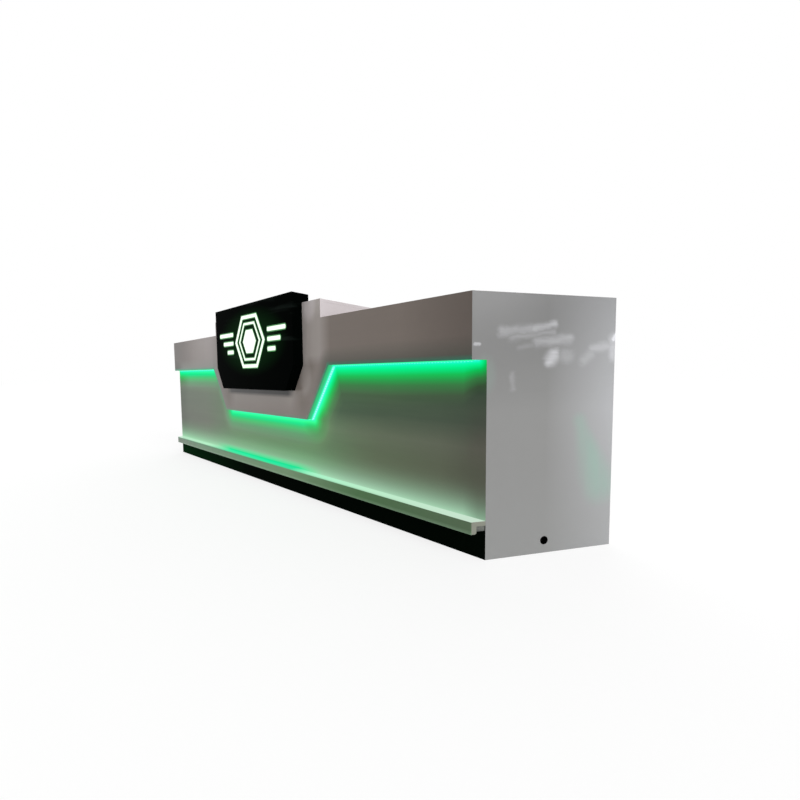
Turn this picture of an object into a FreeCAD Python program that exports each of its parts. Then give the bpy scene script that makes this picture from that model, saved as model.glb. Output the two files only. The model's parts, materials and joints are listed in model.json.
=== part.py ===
import FreeCAD, Part
import os
import re
import Sketcher

# Illuminated shop counter. The front faces -Y, +X is to the customer's right and +Z is up.
# The origin is on the floor, at the centre of the counter's bounding box. Lengths are in mm.
# A depth is counted from the fascia's front face towards the staff side.

SIZES = [
    ("front_length", 3380, "length of the fascia along the customer side"),
    ("counter_height", 1100, "floor to the top of the counter"),
    ("counter_depth", 544, "fascia front to the rear edge of the tops"),
    ("splay_angle", 36, "degrees that each end panel turns out from square"),
    ("board", 18, "thickness of the carcass boards"),
    ("end_board", 25, "thickness of the end panels"),
    ("setback", 52, "fascia front to the front of the lower panel"),
    ("band_height", 271, "height of the fascia's plain band"),
    ("fascia_board", 18, "thickness of the fascia's front board"),
    ("return_board", 18, "thickness of the returns along the fascia's lower edge"),
    ("drop_depth", 323, "how far the fascia's centre drops below the band"),
    ("drop_top_length", 1536, "length of the drop where it leaves the band"),
    ("drop_bottom_length", 1104, "length of the drop along its lower edge"),
    ("raised_length", 1408, "length of the raised centre section"),
    ("raised_rise", 106, "height of the raised section above the counter top"),
    ("strip_width", 18, "light strip, across its lit face"),
    ("strip_thickness", 4, "light strip, out from the return that carries it"),
    ("strip_gap", 2, "light strip to the lower panel"),
    ("strip_end_gap", 2, "light strip to the end panel"),
    ("ledge_height", 167, "floor to the top of the ledge"),
    ("ledge_plate", 20, "thickness of the ledge's plate"),
    ("lip_height", 53, "height of the ledge's front face"),
    ("lip_thickness", 20, "thickness of the ledge's lip"),
    ("lip_round", 8, "radius of the lip's lower back edge"),
    ("batten_height", 22, "height of the batten behind the lip"),
    ("batten_inset", 4, "batten's end behind the ledge's end"),
    ("rear_reveal", 36, "rear edge of the tops to the faces of the doors"),
    ("end_bay", 290, "fascia's end to the centre of an end divider"),
    ("base_height", 100, "floor to the underside of the base board"),
    ("plinth_inset", 40, "toe space in front of the rear plinth"),
    ("cupboard_shelf_height", 590, "floor to the underside of a cupboard shelf"),
    ("bay_shelf_height", 520, "floor to the underside of a centre bay's shelf"),
    ("shelf_gap", 1, "shelf to the boards around it"),
    ("shelf_inset", 20, "shelf's rear edge in front of the doors"),
    ("support_width", 14, "shelf support, along the divider"),
    ("support_height", 10, "shelf support, top to bottom"),
    ("support_reach", 12, "shelf support, out from the divider"),
    ("support_inset", 60, "shelf support to the shelf's front or rear edge"),
    ("sign_length", 1052, "length of the sign"),
    ("sign_foot_length", 864, "length of the sign's lower edge"),
    ("sign_rise", 54, "height of the sign above the raised section"),
    ("sign_height", 581, "height of the sign"),
    ("sign_shoulder", 154, "height of the sign's slanted lower corners"),
    ("sign_depth", 68, "sign's front to the fascia"),
    ("sign_hook", 47, "reach of the sign's hook over the raised section"),
    ("sign_wall", 3, "sheet of the sign's case"),
    ("sign_sheet", 5, "thickness of the sign's face"),
    ("diffuser_sheet", 3, "thickness of the sign's diffuser"),
    ("diffuser_play", 0.5, "diffuser to the case's walls"),
    ("light_bar_depth", 8, "light bar, out from the back of the case"),
    ("light_bar_height", 16, "light bar, top to bottom"),
    ("light_bar_margin", 60, "light bar's end inside the sign's lower edge"),
    ("wire_hole", 10, "diameter of the holes for the lights' wires"),
    ("wire_drop", 100, "counter top to the wire holes in the upright boards"),
    ("wire_inset", 40, "wire hole in a return to the return's end"),
    ("door_gap", 3, "gap around the doors and drawer fronts"),
    ("hinge_height", 75, "length of a butt hinge"),
    ("hinge_inset", 90, "hinge to the top or foot of the door"),
    ("knuckle_radius", 3, "outside of the hinge knuckles"),
    ("pin_radius", 1.5, "hinge pin"),
    ("hinge_play", 0.05, "hinge pin to the knuckles' bore"),
    ("knuckle_gap", 0.3, "between neighbouring knuckles"),
    ("leaf_width", 17, "width of a hinge leaf"),
    ("leaf_thickness", 1.2, "sheet of a hinge leaf"),
    ("pull_length", 192, "length of a pull"),
    ("pull_width", 10, "width of a pull's bar and legs"),
    ("pull_bar", 10, "thickness of a pull's bar and legs"),
    ("pull_projection", 30, "front of a pull to the face that carries it"),
    ("pull_inset", 45, "door pull to the door's free edge"),
    ("pull_drop", 259, "top of a door to the middle of its pull"),
    ("drawer_front_height", 121, "height of a drawer front"),
    ("drawer_space", 20, "rear of a drawer box to the lower panel"),
    ("drawer_box_height", 86, "height of a drawer box"),
    ("drawer_box_lift", 12, "foot of the drawer front to the foot of its box"),
    ("drawer_wall", 12, "wall of a drawer box"),
    ("drawer_floor", 8, "floor of a drawer box"),
    ("runner_space", 13, "divider to the side of the drawer box"),
    ("runner_space_behind", 20, "end of a drawer runner to the lower panel"),
    ("runner_height", 35, "height of a runner's channel"),
    ("runner_sheet", 1.5, "sheet of the runners"),
    ("runner_play", 0.3, "runner's bar to its channel"),
    ("plate_size", 86, "side of the square switch plate"),
    ("plate_thickness", 12, "thickness of the switch plate"),
    ("rocker_width", 31, "width of the rocker"),
    ("rocker_height", 50, "height of the rocker"),
    ("rocker_thickness", 5, "thickness of the rocker"),
    ("rocker_dish", 1.8, "hollow in the middle of the rocker's face"),
    ("rocker_play", 0.6, "rocker to the plate's window"),
    ("trunnion_radius", 1.5, "rocker's pivot studs"),
    ("trunnion_reach", 2.5, "length of a pivot stud"),
    ("trunnion_play", 0.05, "pivot stud to its hole"),
    ("switch_tilt", 5, "degrees that the rocker leans when the lights are on"),
    ("pivot_depth", 8, "rocker's pivot, out from the board behind the plate"),
    ("switch_drop", 150, "counter top to the middle of the switch"),
    ("driver_length", 180, "light driver's case, front to back"),
    ("driver_height", 60, "light driver's case, top to bottom"),
    ("driver_thickness", 38, "light driver's case, out from the divider"),
    ("ear_length", 20, "light driver's fixing ear"),
    ("ear_thickness", 3, "light driver's fixing ear"),
    ("driver_foot", 300, "floor to the foot of the light driver"),
    ("cable_hole", 36, "diameter of the cable hole"),
    ("cable_hole_height", 55, "floor to the centre of the cable hole"),
    ("cable_hole_depth", 274, "fascia front to the centre of the cable hole"),
]

# The light bars' places in the sign's case, as shares of the sign's height from its foot.
LIGHT_BAR_SHARES = (0.18, 0.38, 0.58, 0.78)

NAMES = re.compile(r"\b(" + "|".join(name for name, size, note in SIZES) + r")\b")

# Derived sizes, as expressions on the sheet's named cells.
FRONT = "((sign_depth - counter_depth) / 2)"
REAR = "(counter_depth - rear_reveal)"
TOP_UNDERSIDE = "(counter_height - board)"
RAISED_TOP = "(counter_height + raised_rise)"
BAND_BOTTOM = "(counter_height - band_height)"
DROP_BOTTOM = "(counter_height - band_height - drop_depth)"
DROP_TOP_HALF = "(drop_top_length / 2)"
DROP_BOTTOM_HALF = "(drop_bottom_length / 2)"
MITRE = "tan(atan(drop_depth / ((drop_top_length - drop_bottom_length) / 2)) / 2)"
PANEL_BACK = "(setback + board)"
STRIP_FRONT = "(setback - strip_gap - strip_width)"
WIRE_HEIGHT = "(counter_height - wire_drop)"
BASE_TOP = "(base_height + board)"
TOE_TOP = "(ledge_height - ledge_plate)"
RAISED_HALF = "(raised_length / 2)"
BAY_HALF = "(raised_length / 2 - board)"
CUPBOARD_END = "(front_length / 2 - end_bay - board / 2)"
END_BAY_START = "(front_length / 2 - end_bay + board / 2)"
FACE_BACK = "(counter_depth - rear_reveal - board)"
DOOR_WIDTH = "((%s - %s - 3 * door_gap) / 2)" % (CUPBOARD_END, RAISED_HALF)
DOOR_FOOT = "(base_height + board + door_gap)"
DOOR_TOP = "(counter_height - board - door_gap)"
DRAWER_LENGTH = "(%s - %s - drawer_space)" % (FACE_BACK, PANEL_BACK)
RUNNER_LENGTH = "(%s - %s - runner_space_behind)" % (FACE_BACK, PANEL_BACK)
SIGN_TOP = "(counter_height + raised_rise + sign_rise)"
SIGN_FOOT = "(counter_height + raised_rise + sign_rise - sign_height)"
SIGN_SHOULDER = "(counter_height + raised_rise + sign_rise - sign_height + sign_shoulder)"
KNUCKLE = "((hinge_height - 2 * knuckle_gap) / 3)"

document = FreeCAD.newDocument("illuminated_counter")
sheet = document.addObject("Spreadsheet::Sheet", "sizes")
nodes = {}


def fill_sheet():
    for row, (name, size, note) in enumerate(SIZES, start=1):
        sheet.set("A%d" % row, note)
        sheet.set("B%d" % row, str(size))
        sheet.setAlias("B%d" % row, name)
    document.recompute()


def outer(depth):
    """X of an end panel's outer face at a depth."""
    return "(front_length / 2 + (%s) * tan(splay_angle))" % depth


def inner(depth):
    """X of an end panel's inner face at a depth."""
    return "(%s - end_board / cos(splay_angle))" % outer(depth)


def bind(thing, prop, text):
    thing.setExpression(prop, NAMES.sub(r"sizes.\1", text))


def value(text):
    return float(sheet.evalExpression(text))


def place(thing, x="0", depth="0", z="0"):
    bind(thing, "Placement.Base.x", x)
    bind(thing, "Placement.Base.y", "%s + %s" % (FRONT, depth))
    bind(thing, "Placement.Base.z", z)


def new_body(label, x="0", depth="0", z="0"):
    body = document.addObject("PartDesign::Body", label)
    body.Label = label
    place(body, x, depth, z)
    return body


def new_sketch(body, role, offset=None):
    """A sketch on one of the body's own origin planes, moved along its normal by offset."""
    sketch = body.newObject("Sketcher::SketchObject", body.Name + "_sketch")
    plane = [item for item in body.Origin.OriginFeatures if item.Role == role][0]
    sketch.AttachmentSupport = [(plane, "")]
    sketch.MapMode = "FlatFace"
    if offset:
        bind(sketch, "AttachmentOffset.Base.z", offset)
    return sketch


def draw_outline(sketch, points):
    """Close a polygon through points, each held to the sketch's origin by two dimensions."""
    spots = [FreeCAD.Vector(value(x), value(y), 0) for x, y in points]
    count = len(points)
    first = sketch.GeometryCount
    for index in range(count):
        sketch.addGeometry(Part.LineSegment(spots[index], spots[(index + 1) % count]), False)
    for index in range(count):
        joined = first + (index + 1) % count
        sketch.addConstraint(Sketcher.Constraint("Coincident", first + index, 2, joined, 1))
    for index, (x, y) in enumerate(points):
        for kind, text in (("DistanceX", x), ("DistanceY", y)):
            rule = Sketcher.Constraint(kind, -1, 1, first + index, 1, value(text))
            number = sketch.addConstraint(rule)
            bind(sketch, "Constraints[%d]" % number, text)


def draw_circle(sketch, radius, x="0", y="0"):
    centre = FreeCAD.Vector(value(x), value(y), 0)
    normal = FreeCAD.Vector(0, 0, 1)
    ring = sketch.addGeometry(Part.Circle(centre, normal, value(radius)), False)
    number = sketch.addConstraint(Sketcher.Constraint("Radius", ring, value(radius)))
    bind(sketch, "Constraints[%d]" % number, radius)
    for kind, text in (("DistanceX", x), ("DistanceY", y)):
        rule = Sketcher.Constraint(kind, -1, 1, ring, 3, value(text))
        number = sketch.addConstraint(rule)
        bind(sketch, "Constraints[%d]" % number, text)


def pad(body, sketch, length, towards_staff=False):
    feature = body.newObject("PartDesign::Pad", body.Name + "_pad")
    feature.Profile = sketch
    bind(feature, "Length", length)
    feature.Reversed = towards_staff
    sketch.Visibility = False
    return feature


def pocket(body, sketch, length=None, flipped=False):
    """Cut the sketch into the body, through all of it where no length is given."""
    feature = body.newObject("PartDesign::Pocket", body.Name + "_pocket")
    feature.Profile = sketch
    feature.Reversed = flipped
    if length:
        bind(feature, "Length", length)
    else:
        feature.Type = "ThroughAll"
    sketch.Visibility = False
    return feature


def plan_pad(body, points, height, foot=None):
    """Pad an outline drawn in plan, x against depth, upwards from foot."""
    sketch = new_sketch(body, "XY_Plane", foot)
    draw_outline(sketch, points)
    return pad(body, sketch, height)


def plan_pocket(body, points, foot=None, height=None):
    """Cut an outline drawn in plan out of the body, upwards from foot."""
    sketch = new_sketch(body, "XY_Plane", foot)
    draw_outline(sketch, points)
    return pocket(body, sketch, height, True)


def face_pad(body, points, thickness, depth="0"):
    """Pad an outline drawn in elevation, x against height, from depth towards the staff."""
    sketch = new_sketch(body, "XZ_Plane", "-(%s)" % depth)
    draw_outline(sketch, points)
    return pad(body, sketch, thickness, True)


def face_pocket(body, points, thickness, depth="0"):
    """Cut an outline drawn in elevation out of the body, from depth towards the staff."""
    sketch = new_sketch(body, "XZ_Plane", "-(%s)" % depth)
    draw_outline(sketch, points)
    return pocket(body, sketch, thickness)


def wire_hole(body, x, z, depth, thickness):
    """Drill an upright board from depth towards the staff, for the lights' wires."""
    sketch = new_sketch(body, "XZ_Plane", "-(%s)" % depth)
    draw_circle(sketch, "wire_hole / 2", x, z)
    pocket(body, sketch, thickness)


def new_box(label, x, depth, z, length, width, height):
    """A plain board, from its lowest corner."""
    box = document.addObject("Part::Box", label)
    box.Label = label
    bind(box, "Length", length)
    bind(box, "Width", width)
    bind(box, "Height", height)
    place(box, x, depth, z)
    return box


def new_pin(label, x, depth, z):
    """Upright hinge pin, from its foot."""
    pin = document.addObject("Part::Cylinder", label)
    pin.Label = label
    bind(pin, "Radius", "pin_radius")
    bind(pin, "Height", "hinge_height")
    place(pin, x, depth, z)
    return pin


def keep(name, thing):
    """Make a finished object a node of the counter."""
    thing.Label = name
    nodes[name] = thing
    return thing


def keep_group(name, things):
    """Make separate solids of one kind a single node."""
    group = document.addObject("Part::Compound", name)
    group.Links = things
    return keep(name, group)


def keep_twins(name, thing):
    """Make a piece and its mirror image on the counter's other half one node."""
    twin = document.addObject("Part::Mirroring", name + "_other_half")
    twin.Source = thing
    twin.Normal = FreeCAD.Vector(1, 0, 0)
    return keep_group(name, [thing, twin])


def signed(side, text):
    return text if side > 0 else "-(%s)" % text


def end_panel(name, side):
    """Splayed end, mitred to the fascia above and to the lower panel below the band."""
    body = new_body(name + "_body")
    upper = [("front_length / 2", "0"), (outer("counter_depth"), "counter_depth"),
             (inner("counter_depth"), "counter_depth"), (inner("fascia_board"), "fascia_board")]
    plan_pad(body, [(signed(side, x), y) for x, y in upper], "counter_height")
    nose = [("front_length / 2 - board", "-board"), (outer("setback"), "-board"),
            (outer("setback"), "setback"), (inner(PANEL_BACK), PANEL_BACK),
            ("front_length / 2 - end_board / cos(splay_angle) - board", PANEL_BACK)]
    plan_pocket(body, [(signed(side, x), y) for x, y in nose], None, BAND_BOTTOM)
    if side > 0:
        drill_cable_hole(body)
    keep(name, body)


def drill_cable_hole(body):
    """The sketch lies in the end panel's outer face, with its X axis along the panel."""
    sketch = new_sketch(body, "XZ_Plane")
    turn = FreeCAD.Rotation(FreeCAD.Vector(0, 1, 0), 90 - value("splay_angle"))
    sketch.AttachmentOffset = FreeCAD.Placement(FreeCAD.Vector(0, 0, 0), turn)
    bind(sketch, "AttachmentOffset.Base.x", "front_length / 2")
    bind(sketch, "AttachmentOffset.Rotation.Angle", "90 - splay_angle")
    draw_circle(sketch, "cable_hole / 2", "cable_hole_depth / cos(splay_angle)", "cable_hole_height")
    pocket(body, sketch)


def fascia_panel():
    """Front board of the band, the drop and the raised section in one, mitred at its ends."""
    half = "(front_length / 2)"
    right = [(DROP_BOTTOM_HALF, DROP_BOTTOM), (DROP_TOP_HALF, BAND_BOTTOM), (half, BAND_BOTTOM),
             (half, "counter_height"), (RAISED_HALF, "counter_height"), (RAISED_HALF, RAISED_TOP)]
    left = [("-" + x, z) for x, z in reversed(right)]
    body = new_body("fascia_panel_body")
    face_pad(body, right + left, "fascia_board")
    for side in (1, -1):
        corner = [(half, "0"), (half, "fascia_board"), (inner("fascia_board"), "fascia_board")]
        plan_pocket(body, [(signed(side, x), y) for x, y in corner])
    wire_hole(body, "0", WIRE_HEIGHT, "0", "fascia_board")
    keep("fascia_panel", body)


def fascia_returns():
    """Strips that close the fascia's underside, back to the lower panel, mitred together."""
    depth = "setback - fascia_board"
    shift = "return_board * %s" % MITRE
    top_in = "%s - %s" % (DROP_TOP_HALF, shift)
    bottom_in = "%s - %s" % (DROP_BOTTOM_HALF, shift)
    band_upper = "%s + return_board" % BAND_BOTTOM
    drop_upper = "%s + return_board" % DROP_BOTTOM
    band = new_body("band_return_body")
    face_pad(band, [(DROP_TOP_HALF, BAND_BOTTOM), (inner("setback"), BAND_BOTTOM),
                    (inner("setback"), band_upper), (top_in, band_upper)], depth, "fascia_board")
    plan_pocket(band, [(inner("fascia_board"), "fascia_board"), (inner("setback"), "fascia_board"),
                       (inner("setback"), "setback")])
    hole = new_sketch(band, "XY_Plane", BAND_BOTTOM)
    draw_circle(hole, "wire_hole / 2", "%s - wire_inset" % inner(STRIP_FRONT),
                "%s + strip_width / 2" % STRIP_FRONT)
    pocket(band, hole, "return_board", True)
    keep_twins("band_returns", band)
    diagonal = new_body("diagonal_return_body")
    face_pad(diagonal, [(DROP_BOTTOM_HALF, DROP_BOTTOM), (DROP_TOP_HALF, BAND_BOTTOM),
                        (top_in, band_upper), (bottom_in, drop_upper)], depth, "fascia_board")
    keep_twins("diagonal_returns", diagonal)
    drop = new_body("drop_return_body")
    face_pad(drop, [("-" + DROP_BOTTOM_HALF, DROP_BOTTOM), (DROP_BOTTOM_HALF, DROP_BOTTOM),
                    (bottom_in, drop_upper), ("-(%s)" % bottom_in, drop_upper)],
             depth, "fascia_board")
    keep("drop_return", drop)


def light_strips():
    """Lit strips on the undersides of the returns, close to the lower panel, mitred."""
    shift = "strip_thickness * %s" % MITRE
    top_out = "%s + %s" % (DROP_TOP_HALF, shift)
    bottom_out = "%s + %s" % (DROP_BOTTOM_HALF, shift)
    band_lower = "%s - strip_thickness" % BAND_BOTTOM
    drop_lower = "%s - strip_thickness" % DROP_BOTTOM
    strip_end = "%s - strip_end_gap" % inner(STRIP_FRONT)
    band = new_body("band_strip_body")
    face_pad(band, [(DROP_TOP_HALF, BAND_BOTTOM), (top_out, band_lower), (strip_end, band_lower),
                    (strip_end, BAND_BOTTOM)], "strip_width", STRIP_FRONT)
    keep_twins("band_light_strips", band)
    diagonal = new_body("diagonal_strip_body")
    face_pad(diagonal, [(DROP_BOTTOM_HALF, DROP_BOTTOM), (bottom_out, drop_lower),
                        (top_out, band_lower), (DROP_TOP_HALF, BAND_BOTTOM)],
             "strip_width", STRIP_FRONT)
    keep_twins("diagonal_light_strips", diagonal)
    drop = new_body("drop_strip_body")
    face_pad(drop, [("-" + DROP_BOTTOM_HALF, DROP_BOTTOM), ("-(%s)" % bottom_out, drop_lower),
                    (bottom_out, drop_lower), (DROP_BOTTOM_HALF, DROP_BOTTOM)],
             "strip_width", STRIP_FRONT)
    keep("drop_light_strip", drop)


def mitred_outline():
    """Plan of a board whose ends are mitred to the end panels below the band."""
    return [("-" + outer("setback"), "setback"), (outer("setback"), "setback"),
            (inner(PANEL_BACK), PANEL_BACK), ("-" + inner(PANEL_BACK), PANEL_BACK)]


def front_boards():
    """Lower panel, which runs up behind the fascia, and the toe kick."""
    panel = new_body("front_panel_body")
    height = "%s - ledge_height" % TOP_UNDERSIDE
    plan_pad(panel, mitred_outline(), height, "ledge_height")
    for side in (1, -1):
        corner = [(inner("setback"), "setback"), (outer("setback"), "setback"),
                  (inner(PANEL_BACK), PANEL_BACK)]
        plan_pocket(panel, [(signed(side, x), y) for x, y in corner], BAND_BOTTOM)
    middle = "(%s + %s) / 2" % (END_BAY_START, inner(PANEL_BACK))
    wire_hole(panel, middle, WIRE_HEIGHT, "setback", "board")
    keep("front_panel", panel)
    kick = new_body("toe_kick_body")
    plan_pad(kick, mitred_outline(), TOE_TOP)
    keep("toe_kick", kick)


def ledge():
    """Plate with a thicker lip in front, open at both ends, and the batten behind the lip."""
    body = new_body("ledge_body")
    front = [("-front_length / 2", "0"), ("front_length / 2", "0")]
    tongue = [(outer("setback"), "setback"), (inner(PANEL_BACK), PANEL_BACK),
              ("-" + inner(PANEL_BACK), PANEL_BACK), ("-" + outer("setback"), "setback")]
    plan_pad(body, front + tongue, "ledge_plate", TOE_TOP)
    lip = [(outer("lip_thickness"), "lip_thickness"), ("-" + outer("lip_thickness"), "lip_thickness")]
    plan_pad(body, front + lip, "lip_height - ledge_plate", "ledge_height - lip_height")
    document.recompute()
    base_feature = body.Tip
    foot = value("ledge_height - lip_height")
    depth = value("lip_thickness")
    edges = []
    for number, edge in enumerate(base_feature.Shape.Edges, start=1):
        centre = edge.BoundBox.Center
        if abs(centre.z - foot) < 0.001 and abs(centre.y - depth) < 0.001:
            edges.append("Edge%d" % number)
    rounded = body.newObject("PartDesign::Fillet", "lip_fillet")
    rounded.Base = (base_feature, edges)
    bind(rounded, "Radius", "lip_round")
    keep("ledge", body)
    batten = new_body("ledge_batten_body")
    near = "%s - batten_inset" % outer("lip_thickness")
    far = "%s - batten_inset" % outer("setback")
    plan_pad(batten, [("-(%s)" % near, "lip_thickness"), (near, "lip_thickness"),
                      (far, "setback"), ("-(%s)" % far, "setback")],
             "batten_height", "%s - batten_height" % TOE_TOP)
    keep("ledge_batten", batten)


def tops():
    """Side tops between the end panels and the raised section, its top and the board under it."""
    for name, side in (("counter_top_left", -1), ("counter_top_right", 1)):
        body = new_body(name + "_body")
        outline = [(RAISED_HALF, "fascia_board"), (inner("fascia_board"), "fascia_board"),
                   (inner("counter_depth"), "counter_depth"), (RAISED_HALF, "counter_depth")]
        plan_pad(body, [(signed(side, x), y) for x, y in outline], "board", TOP_UNDERSIDE)
        keep(name, body)
    width = "counter_depth - fascia_board"
    keep("counter_top_centre", new_box("counter_top_centre", "-" + BAY_HALF, "fascia_board",
                                       TOP_UNDERSIDE, "2 * " + BAY_HALF, width, "board"))
    keep("raised_top", new_box("raised_top", "-" + RAISED_HALF, "fascia_board",
                               "%s - board" % RAISED_TOP, "raised_length", width, "board"))


def dividers():
    """Uprights: two tall ones that carry the raised top, one in the middle, two at the ends."""
    body = new_body("tall_divider_body", BAY_HALF)
    sketch = new_sketch(body, "YZ_Plane")
    under_raised = "%s - board" % RAISED_TOP
    draw_outline(sketch, [(PANEL_BACK, BASE_TOP), (REAR, BASE_TOP), (REAR, TOP_UNDERSIDE),
                          ("counter_depth", TOP_UNDERSIDE), ("counter_depth", under_raised),
                          ("fascia_board", under_raised), ("fascia_board", TOP_UNDERSIDE),
                          (PANEL_BACK, TOP_UNDERSIDE)])
    pad(body, sketch, "board")
    keep_twins("tall_dividers", body)
    depth = "%s - %s" % (REAR, PANEL_BACK)
    keep("centre_divider", new_box("centre_divider", "-board / 2", PANEL_BACK, BASE_TOP,
                                   "board", depth, "%s - %s" % (TOP_UNDERSIDE, BASE_TOP)))
    keep_twins("end_dividers", new_box("end_divider", CUPBOARD_END, PANEL_BACK, "0",
                                       "board", depth, TOP_UNDERSIDE))
    keep("pigeonhole_upright", new_box("pigeonhole_upright", "-board / 2", "fascia_board",
                                       "counter_height", "board", "%s - fascia_board" % REAR,
                                       "raised_rise - board"))


def base():
    """Base board on the rear plinth and three ribs, and the fixed panels of the end bays."""
    depth = "%s - %s" % (REAR, PANEL_BACK)
    plinth_front = "%s - plinth_inset - board" % REAR
    keep("base_board", new_box("base_board", "-" + CUPBOARD_END, PANEL_BACK, "base_height",
                               "2 * " + CUPBOARD_END, depth, "board"))
    keep("rear_plinth", new_box("rear_plinth", "-" + CUPBOARD_END, plinth_front, "0",
                                "2 * " + CUPBOARD_END, "board", "base_height"))
    ribs = []
    for number, x in enumerate(("-" + RAISED_HALF, "-board / 2", BAY_HALF), start=1):
        ribs.append(new_box("plinth_rib_%d" % number, x, PANEL_BACK, "0", "board",
                            "%s - %s" % (plinth_front, PANEL_BACK), "base_height"))
    keep_group("plinth_ribs", ribs)
    filler = new_body("rear_filler_body")
    plan_pad(filler, [(END_BAY_START, FACE_BACK), (inner(FACE_BACK), FACE_BACK),
                      (inner(REAR), REAR), (END_BAY_START, REAR)], TOP_UNDERSIDE)
    keep_twins("rear_fillers", filler)


def shelf(name, start, end, height):
    """A loose shelf in each of two mirrored bays, and the supports under the right one."""
    length = "%s - %s - 2 * shelf_gap" % (end, start)
    depth = "%s + shelf_gap" % PANEL_BACK
    rear = "(%s - shelf_inset)" % FACE_BACK
    keep_twins(name, new_box(name + "_board", "%s + shelf_gap" % start, depth, height,
                             length, "%s - (%s)" % (rear, depth), "board"))
    supports = []
    places = ("%s + support_inset" % depth, "%s - support_inset - support_width" % rear)
    for number, place_text in enumerate(places, start=1):
        for side, x in (("inner", start), ("outer", "%s - support_reach" % end)):
            label = "%s_support_%s_%d" % (name, side, number)
            supports.append(new_box(label, x, place_text, "%s - support_height" % height,
                                    "support_reach", "support_width", "support_height"))
    return supports


def shelves():
    supports = shelf("cupboard_shelves", RAISED_HALF, CUPBOARD_END, "cupboard_shelf_height")
    supports += shelf("bay_shelves", "(board / 2)", BAY_HALF, "bay_shelf_height")
    right = document.addObject("Part::Compound", "right_shelf_supports")
    right.Links = supports
    keep_twins("shelf_supports", right)


def sign_outline(inset="0"):
    """Sign in elevation, with its lower corners slanted, drawn in by inset on every side."""
    half = "(sign_length / 2 - %s)" % inset
    slant = "atan(sign_shoulder / ((sign_length - sign_foot_length) / 2))"
    foot = "(sign_foot_length / 2 - %s * tan(%s / 2))" % (inset, slant)
    shoulder = "%s + %s * tan((90 deg - %s) / 2)" % (SIGN_SHOULDER, inset, slant)
    right = [(foot, "%s + %s" % (SIGN_FOOT, inset)), (half, shoulder),
             (half, "%s - %s" % (SIGN_TOP, inset))]
    return right + [("-" + x, z) for x, z in reversed(right)]


def sign():
    """Black case that hooks over the raised section, its glossy face and the lights inside."""
    case = new_body("sign_case_body")
    front = "-(sign_depth - sign_sheet)"
    face_pad(case, sign_outline(), "sign_depth - sign_sheet", front)
    half = "(sign_length / 2)"
    hook = [("-" + half, RAISED_TOP), (half, RAISED_TOP), (half, SIGN_TOP), ("-" + half, SIGN_TOP)]
    face_pad(case, hook, "sign_hook")
    face_pocket(case, sign_outline("sign_wall"), "sign_depth - sign_sheet - sign_wall", front)
    inside = "(sign_length / 2 - sign_wall)"
    low = "%s + sign_wall" % RAISED_TOP
    high = "%s - sign_wall" % SIGN_TOP
    face_pocket(case, [("-" + inside, low), (inside, low), (inside, high), ("-" + inside, high)],
                "sign_hook", "-sign_wall")
    wire_hole(case, "0", WIRE_HEIGHT, "-sign_wall", "sign_wall")
    keep("sign_case", case)
    face = new_body("sign_face_body")
    face_pad(face, sign_outline(), "sign_sheet", "-sign_depth")
    keep("sign_face", face)
    diffuser = new_body("sign_diffuser_body")
    face_pad(diffuser, sign_outline("(sign_wall + diffuser_play)"), "diffuser_sheet", front)
    keep("sign_diffuser", diffuser)
    bars = []
    for number, share in enumerate(LIGHT_BAR_SHARES, start=1):
        bars.append(new_box("sign_light_bar_%d" % number,
                            "-(sign_foot_length / 2 - light_bar_margin)",
                            "-(sign_wall + light_bar_depth)",
                            "%s + %s * sign_height" % (SIGN_FOOT, share),
                            "sign_foot_length - 2 * light_bar_margin",
                            "light_bar_depth", "light_bar_height"))
    keep_group("sign_light_bars", bars)


def hinge_leaf(label, x, direction, on_door):
    """Leaves of a door's two butt hinges, drawn round the hinge axis as the origin."""
    body = new_body(label, x, "%s + knuckle_radius" % REAR, "%s + hinge_inset" % DOOR_FOOT)
    body.AllowCompound = True
    side = direction if on_door else -direction
    near = "(door_gap / 2 - leaf_thickness)"
    strip = [(near, "-(knuckle_radius + leaf_width)"),
             ("door_gap / 2", "-(knuckle_radius + leaf_width)"),
             ("door_gap / 2", "-(knuckle_radius + knuckle_gap)"),
             (near, "-(knuckle_radius + knuckle_gap)")]
    tab = [(near, "-(knuckle_radius + 2 * knuckle_gap)"),
           ("door_gap / 2", "-(knuckle_radius + 2 * knuckle_gap)"),
           ("door_gap / 2", "-knuckle_radius / 2"), (near, "-knuckle_radius / 2")]
    features = [plan_pad(body, [(signed(side, px), py) for px, py in strip], "hinge_height")]
    feet = ["%s + knuckle_gap" % KNUCKLE] if on_door else ["0", "2 * (%s + knuckle_gap)" % KNUCKLE]
    for foot in feet:
        features.append(plan_pad(body, [(signed(side, px), py) for px, py in tab], KNUCKLE, foot))
        knuckle = new_sketch(body, "XY_Plane", foot)
        draw_circle(knuckle, "knuckle_radius")
        features.append(pad(body, knuckle, KNUCKLE))
    bore = new_sketch(body, "XY_Plane")
    draw_circle(bore, "pin_radius + hinge_play")
    features.append(pocket(body, bore, "hinge_height", True))
    document.recompute()
    pattern = body.newObject("PartDesign::LinearPattern", label + "_pattern")
    pattern.Originals = features
    upright = [item for item in body.Origin.OriginFeatures if item.Role == "Z_Axis"][0]
    pattern.Direction = (upright, [""])
    bind(pattern, "Length", "%s - %s - 2 * hinge_inset - hinge_height" % (DOOR_TOP, DOOR_FOOT))
    pattern.Occurrences = 2
    body.Tip = pattern
    return body


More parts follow.
